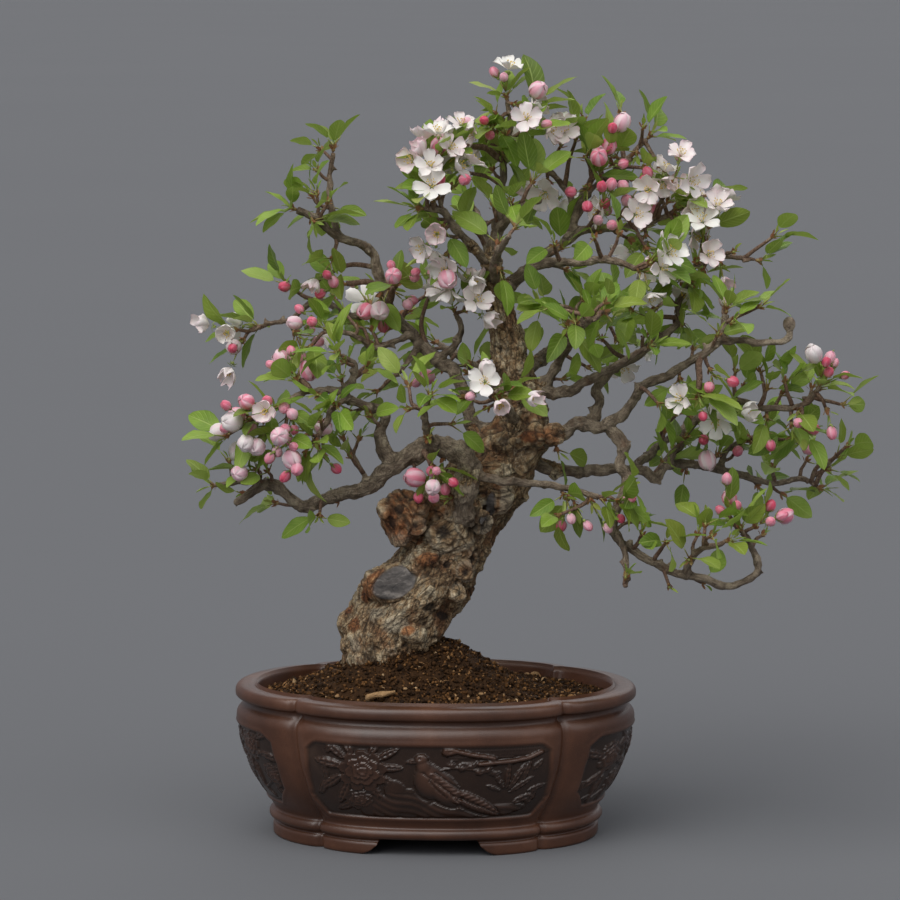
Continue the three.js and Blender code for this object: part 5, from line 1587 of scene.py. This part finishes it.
def stalks(roots, ends, radius_from, radius_to, sides=4, rows=4, **given):
    """Thin straight tubes from roots to ends."""
    pattern = skin(sides, rows, tube=True)
    height, ring, closed = round_pattern(pattern)
    way = unit(ends - roots)
    first = unit(np.cross(way, np.array([0.31, 0.2, 0.93])))
    second = np.cross(way, first)
    t = height[None, :, None]
    low, high = (np.broadcast_to(r, len(roots))[:, None, None] for r in (radius_from, radius_to))
    r = (low + (high - low) * t) * closed[None, :, None]
    cos, sin = np.cos(ring)[None, :, None], np.sin(ring)[None, :, None]
    spots = roots[:, None] + (ends - roots)[:, None] * t + (first[:, None] * cos + second[:, None] * sin) * r
    return copies(pattern, spots, along=height, **given)


def leaf_stems(plans, seed, thick):
    roots, way = stack(plans, "root"), stack(plans, "dir")
    joints = roots + way * (stack(plans, "petiole") + 0.5)[:, None]
    red = np.random.default_rng(seed).uniform(0, 1, (len(plans), 1))
    return stalks(roots - way * 0.8, joints, thick, thick * 0.65, red=red)


foots = np.array([s["foot"] - s["axis"] * 1.2 for s in shoots])
tops = np.array([s["top"] for s in shoots])
green_shoots = stalks(foots, tops, np.array([min(2.2, s["radius"]) for s in shoots]), 1.4, 6, 4, red=1.0)

scales = []
for shoot in shoots:
    for k in range(5):
        roll = dice(shoot["n"] * 53 + k * 17 + 3)
        way, out = leaning(shoot["axis"], 0.45 + 0.5 * roll(), k * FIFTH + shoot["n"])
        scales.append({"root": shoot["foot"] + shoot["axis"] * (0.5 + 3 * roll()) + out * 1.2, "dir": way,
                       "facing": turned_off(UP * 0.2 - out, way), "petiole": 0, "blade": 4.5 + 3.5 * roll(),
                       "width": 0.62, "droop": -0.12, "young": 0.0})

# %% [markdown]
# Light shines through a young leaf, so the shader is a mix: a leaf surface with a soft gloss, and a share
# that lets light through. Green differs from leaf to leaf, is deeper between the veins and paler on the
# midrib and in the small new leaves, some of which are flushed with brown.

# %% Leaf finishes
def see_through(ink, shader, share, colour):
    """Puts a share of light that comes through beside the surface's own."""
    glow = ink.node("BsdfTranslucent", {}, {"Color": colour})
    both = ink.node("MixShader", {}, {0: share, 1: Ink(ink.tree, shader.outputs[0]), 2: glow})
    ink.tree.links.new(both.socket, ink.tree.nodes["Material Output"].inputs["Surface"])


def leaf_finish(name, stops, through, flush):
    material, shader, ink, place = finish_of(name, 0.42, Specular_IOR_Level=0.4)
    uv = ink.node("UVMap", {"uv_map": "UVMap"})
    parts = [ink.node("SeparateXYZ", {}, {0: uv}, out=k) for k in (0, 1)]
    edge = ink.maths("ABSOLUTE", parts[0] * 2 - 1)
    vein_wave = ink.maths("SINE", (parts[1] * 8 - edge * 2.4) * FULL_TURN)
    veins = (1 - vein_wave.step(-1.0, -0.55)) * edge.step(0.02, 0.2)
    midrib = 1 - edge.step(0.03, 0.1)
    teeth = ink.maths("SINE", parts[1] * 150) * 0.03
    blotch = ink.noise(place, 70, 3, 0.5)
    green = ink.ramp(0.66 * ink.attribute("shade") + 0.4 * blotch, *stops)
    green = ink.mix(ink.attribute("warm") * 0.75, green, flush)
    green = ink.mix((midrib * 0.55 + veins * 0.2).clip(), green, paint(*stops[-1][1:]))
    green = ink.mix((edge + teeth).step(0.88, 0.97) * 0.35, green, paint(*stops[0][1:]))
    wire(ink, shader, Base_Color=green, Roughness=0.36 + 0.2 * blotch,
         Normal=relief_of(ink, (1 - (midrib + 0.6 * veins).clip(), 0.6, 0.0008), (blotch, 0.2, 0.001)))
    see_through(ink, shader, 0.26, through)
    return material


leaf_green = leaf_finish("leaf_green", [(0.14, 62, 90, 24), (0.38, 106, 140, 42), (0.6, 142, 174, 62),
                                        (0.88, 188, 208, 116)], (0.42, 0.56, 0.1, 1), paint(150, 142, 64))
scale_brown = leaf_finish("bud_scale", [(0.15, 96, 54, 36), (0.4, 150, 92, 62), (0.6, 180, 132, 92),
                                        (0.85, 190, 168, 104)], (0.5, 0.25, 0.12, 1), paint(140, 90, 60))

leaf_stalk, shader, ink, place = finish_of("leaf_stalk", 0.5)
age = ink.attribute("along") * 0.8 + 0.2 * ink.noise(place, 300) - 0.25 * ink.attribute("red") + 0.15
ground = ink.ramp(age, (0.0, 122, 70, 48), (0.35, 150, 128, 78), (0.7, 150, 160, 84), (1.0, 140, 168, 78))
wire(ink, shader, Base_Color=ground, Normal=relief_of(ink, (ink.noise(place, 1200), 0.3, 0.0003)))

spray_names = [f"leaf_spray_{n + 1:02d}" for n in range(len(SPRAYS))]
piece("leaf_blades", blades(leaves, 3), leaf_green, spray_names)
piece("leaflets", blades(small_leaves, 5, 3, 5), leaf_green)
stems = merged([leaf_stems(leaves, 4, 0.9), leaf_stems(small_leaves, 9, 0.55), green_shoots])
piece("leaf_stalks", stems, leaf_stalk)
piece("bud_scales", blades(scales, 8, 2, 3), scale_brown)

# %% [markdown]
# ## Flowers
#
# A bud is five petals wrapped round each other, a balloon is the same bud swollen and paler, and an open
# flower is five cupped petals round a tuft of stamens. So two petal shapes are enough: one that wraps and
# one that spreads, more or less far. Each flower has a green cup with five pointed sepals and a thin stalk.

# %% Petals, sepals and stamens
def framed(plans):
    """Each plan with its way and the two directions across it."""
    return [(plan, plan["dir"], *sideways(plan["dir"])) for plan in plans]


def spoke(first, second, angle):
    """The way off the axis at one angle, or at each of many."""
    if np.ndim(angle):
        angle = angle[:, None]
    return first * np.cos(angle) + second * np.sin(angle)


def wrapped_petals(plans, seed):
    pattern = skin(5, 6)
    u, v = cross_and_along(pattern)
    roll = np.random.default_rng(seed)
    spots, blush = [], []
    for i, (plan, way, first, second) in enumerate(framed(plans)):
        big = plan["kind"] == "b"
        length, radius = (18, 8.3) if big else (11.8, 4.8)
        length, radius = (whole * plan["size"] * roll.uniform(0.9, 1.04) for whole in (length, radius))
        red = roll.uniform(0.12, 0.8) if big else roll.uniform(0.4, 1.0)
        for j in range(5):
            middle = plan["spin"] + j * FIFTH + roll.uniform(-0.12, 0.12)
            swell = np.sin(np.pi * np.clip(v, 0, 1)) ** (0.8 if big else 0.92)
            swell = np.maximum(swell * ((0.94 + 0.12 * v) if big else (1.06 - 0.12 * v)), 0.2 * (1 - v))
            half = (1.0 if big else 0.95) * np.minimum(1, 0.35 + 2.2 * v) * (1 - 0.35 * v**3)
            r = radius * swell * (0.95 + 0.055 * u + 0.012 * (j % 3)) + 0.1
            rise = 0.03 + 0.97 * (0.5 - 0.5 * np.cos(np.pi * v)) - (0.07 if big else 0.03) * u**2 * v
            rise = length * rise * (1 + (0.06 if big else 0.03) * math.sin(j * 2.4 + i))
            out = spoke(first, second, middle + u * half)
            spots.append(plan["root"] + way * (plan["stalk"] + rise)[:, None] + out * r[:, None])
            streak = 0.5 + 0.9 * np.exp(-((u / 0.45) ** 2)) * (1 - 0.5 * v)
            blush.append(np.clip(red * (streak if big else 0.75 + 0.45 * v - 0.3 * np.abs(u)), 0, 1))
    return copies(pattern, np.array(spots), blush=np.array(blush))


def open_petals(plans, seed):
    """Five broad petals; close is 0 for a flat flower and 1 for one that has only begun to open."""
    pattern = skin(5, 6)
    u, v = cross_and_along(pattern)
    v = 0.45 * v + 0.275 * (1 - np.cos(np.pi * v))
    roll = np.random.default_rng(seed)
    spots, blush = [], []
    for plan, way, first, second in framed(plans):
        size = plan["size"]
        flush = roll.uniform(0.0, 0.22) + 0.25 * plan["close"] * roll.uniform(0, 1)
        spread = roll.uniform(0.92, 1.06)
        for j in range(5):
            middle = plan["spin"] + j * FIFTH + 0.63 + roll.uniform(-0.14, 0.14)
            lift, cup = roll.uniform(-2.6, 3.6), roll.uniform(0.25, 0.6)
            wave, tip = roll.uniform(0, 6), roll.uniform(-0.3, 0.3)
            close = np.clip(plan["close"] + roll.uniform(-0.1, 0.2), 0, 1)
            reach = size * (1.4 + (16.2 + roll.uniform(-1.2, 0.6)) * spread * v * (1 - 0.09 * u**2))
            half = size * 8.9 * np.clip(v, 0, 1) ** 0.66 * np.clip(1 - v**4, 0, 1) ** 0.5 + 0.2
            rise = size * (2.4 + 4.6 * v**0.8 + 3.2 * v * v - 2.2 * v**4 + lift * v**2)
            rise = rise + (cup * np.abs(u) ** 2 * v**0.3 + tip * u * v) * half
            rise = rise + 0.6 * size * np.sin(4 * u + wave) * v**2
            reach = reach * (1 - 0.55 * close * v**0.5)
            reach = reach + 2.2 * close * np.sin(np.pi * np.clip(v, 0, 1)) * size
            rise = rise * (1 + 0.75 * close)
            out = spoke(first, second, middle)
            across = u * half * (1 - 0.25 * close)
            spots.append(plan["root"] + way * (plan["stalk"] + rise)[:, None]
                         + np.cross(way, out) * across[:, None]
                         + out * (reach - close * 0.35 * u**2 * half)[:, None])
            blush.append(np.clip(flush * (0.3 + 0.9 * v * np.abs(u)) + 0.1 * (v < 0.15), 0, 1))
    return copies(pattern, np.array(spots), blush=np.array(blush))


def sepals(plans):
    pattern = skin(2, 3)
    u, v = cross_and_along(pattern)
    spots = []
    for plan, way, first, second in framed(plans):
        kind, size = plan["kind"], plan["size"]
        for j in range(5):
            out = spoke(first, second, plan["spin"] + j * FIFTH + 0.2)
            half = 1.15 * size * (1 - v) ** 0.8
            if kind == "o":
                reach, rise = 1.5 + 4.6 * size * v, 1.4 + 0.6 * v - 2.4 * v * v
            elif kind == "b":
                reach, rise = 1.4 + 6.6 * size * v**0.8, 0.2 + 2.2 * v + 1.6 * v * v
            else:
                reach, rise = 1.2 + size * (5.0 * np.sin(1.45 * v) * 0.98), 0.1 + 5.6 * size * v**1.25
            spots.append(plan["root"] + way * (plan["stalk"] + rise - 0.4)[:, None] + out * reach[:, None]
                         + np.cross(way, out) * (u * half)[:, None])
    return copies(pattern, np.array(spots), along=0.8, red=0.2)


def cups(plans):
    """The small green cup under each flower."""
    pattern = skin(6, 4, tube=True)
    t, ring, closed = round_pattern(pattern)
    r = np.interp(t, [0, 0.2, 0.5, 0.8, 1], [0.6, 1.2, 1.75, 1.5, 1.3]) * closed
    spots = []
    for plan, way, first, second in framed(plans):
        spots.append(plan["root"] + way * (plan["stalk"] - 3.4 + 4.4 * t)[:, None]
                     + spoke(first, second, ring) * (r * plan["size"])[:, None])
    return copies(pattern, np.array(spots), along=0.75, red=0.5)


def stamens(plans, seed):
    """Threads round the middle of each open flower and the pollen bag on each."""
    roll = np.random.default_rng(seed)
    feet, heads = [], []
    for plan, way, first, second in framed(plans):
        for k in range(12):
            out = spoke(first, second, k * GOLDEN + roll.uniform(-0.2, 0.2))
            lean = roll.uniform(0.12, 0.62) * (1 - 0.6 * plan["close"])
            feet.append(plan["root"] + way * (plan["stalk"] + 3.2 * plan["size"]) + out * 1.0)
            thread = (way * math.cos(lean) + out * math.sin(lean)) * roll.uniform(5.6, 8.4) * plan["size"]
            heads.append(feet[-1] + thread)
    feet, heads = np.array(feet), np.array(heads)
    threads = stalks(feet, heads, 0.3, 0.2, 3, 3, pollen=0.0)
    bags = copies(GRAIN, round_grain[None] * [0.75, 0.75, 0.95] + heads[:, None], pollen=1.0, along=1.0)
    return merged([threads, bags])


wrapped = [f for f in flowers if f["kind"] != "o"]
opened = [f for f in flowers if f["kind"] == "o"]
print(len(wrapped), "buds and balloons,", len(opened), "open flowers")
ends = stack(flowers, "root") + stack(flowers, "dir") * (stack(flowers, "stalk") - 2.5)[:, None]
starts = stack(flowers, "root") - stack(flowers, "dir") * 1.4
pedicels = stalks(starts, ends, 0.85, 0.7, red=np.random.default_rng(6).uniform(0, 1, (len(flowers), 1)))

# %% [markdown]
# Petals let light through like leaves, only more of it. The blush is deep rose in a tight bud, breaks into
# streaks on a balloon, and is a breath of pink on the white of an open flower.

# %% Petal finishes
def petal_finish(name, roughness):
    material, shader, ink, place = finish_of(name, roughness, Specular_IOR_Level=0.3)
    uv = ink.node("UVMap", {"uv_map": "UVMap"})
    streak = ink.noise(ink.squeeze(uv, (16.0, 1.6, 1.0)), 1.0, 3, 0.6)
    fleck = ink.noise(place, 150, 3, 0.5)
    amount = (ink.attribute("blush") * (0.6 + 0.8 * streak) + 0.16 * fleck - 0.08).clip()
    colour = ink.ramp(amount, (0.0, 250, 249, 243), (0.14, 250, 238, 238), (0.38, 250, 198, 212),
                      (0.66, 245, 142, 166), (0.95, 230, 84, 114))
    wire(ink, shader, Base_Color=colour, Normal=relief_of(ink, (streak, 0.35, 0.0006)))
    see_through(ink, shader, 0.15, (0.9, 0.78, 0.76, 1))
    return material


petal_white, petal_rose = petal_finish("petal_white", 0.55), petal_finish("petal_rose", 0.42)

stamen_finish, shader, ink, place = finish_of("stamen", 0.6)
ground = ink.mix(ink.attribute("pollen"), paint(228, 226, 186), paint(226, 196, 92))
ground = ink.mix(ink.noise(place, 900) * 0.3, ground, paint(196, 150, 60))
wire(ink, shader, Base_Color=ground)

umbels = {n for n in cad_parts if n.startswith("blossom_umbel_")}
with_open = {f"blossom_umbel_{n + 1:02d}" for n, s in enumerate(SPRAYS) if "o" in s[2]}
piece("open_petals", open_petals(opened, 12), petal_white, sorted(with_open))
piece("bud_petals", wrapped_petals(wrapped, 11), petal_rose, sorted(umbels - with_open))
piece("flower_stalks", merged([pedicels, sepals(flowers), cups(flowers)]), leaf_stalk)
piece("stamens", stamens(opened, 14), stamen_finish)

# %% [markdown]
# ## Studio
#
# A pale floor that runs on to the skyline, under a broad soft light from above and in front, as a bonsai is
# shown, and a grey sky that fills the shadows. The camera stands where the drawing's viewer stands.

# %% Floor, light and camera
bm = bmesh.new()
bmesh.ops.create_grid(bm, x_segments=2, y_segments=2, size=160)
floor_mesh = to_mesh(bm, "floor")
floor_paper, shader, ink, place = finish_of("floor_paper", 0.9, Specular_IOR_Level=0.1)
ground = ink.mix(ink.noise(place, 0.4), (0.146, 0.15, 0.16, 1), (0.154, 0.158, 0.167, 1))
wire(ink, shader, Base_Color=ground)
floor_mesh.materials.append(floor_paper)
floor = bpy.data.objects.new("floor", floor_mesh)
bpy.context.scene.collection.objects.link(floor)

world = bpy.data.worlds.new("sky")
bpy.context.scene.world = world
world.use_nodes = True
sky = world.node_tree.nodes["Background"].inputs
sky[0].default_value, sky[1].default_value = (0.6, 0.62, 0.68, 1), 0.42

middle = (Vector(cad_box[0]) + Vector(cad_box[1])) / 2


def lamp(name, place, power, spread, tint=(1, 1, 1)):
    """An even light from far off; spread is the angle in degrees under which its source is seen."""
    data = bpy.data.lights.new(name, "SUN")
    data.energy, data.color, data.angle = power, tint, math.radians(spread)
    made = bpy.data.objects.new(name, data)
    made.location = middle + Vector(place)
    made.rotation_euler = (-Vector(place)).to_track_quat("-Z", "Y").to_euler()
    bpy.context.scene.collection.objects.link(made)


lamp("top_light", (-0.8, -1.3, 3.2), 1.75, 60, (1, 0.985, 0.96))
lamp("front_light", (-1.2, -2.4, 1.9), 0.85, 50)
lamp("right_light", (1.9, -1.3, 1.9), 0.5, 50)
lamp("rear_light", (0.4, 2.4, 1.9), 0.4, 50)

data = bpy.data.cameras.new("camera")
data.lens, data.sensor_width, data.clip_start, data.clip_end = 160, 36, 0.1, 400
camera = bpy.data.objects.new("camera", data)
camera.location = Vector(TURN @ EYE / 1000 + POT_MIDDLE)
target = Vector(TURN @ np.array([AIM_X, 0, AIM_Z]) / 1000 + POT_MIDDLE)
camera.rotation_euler = (target - camera.location).to_track_quat("-Z", "Y").to_euler()
bpy.context.scene.collection.objects.link(camera)
bpy.context.scene.camera = camera
bpy.context.scene.view_settings.view_transform = "Standard"
print("camera at", [round(x, 3) for x in camera.location])
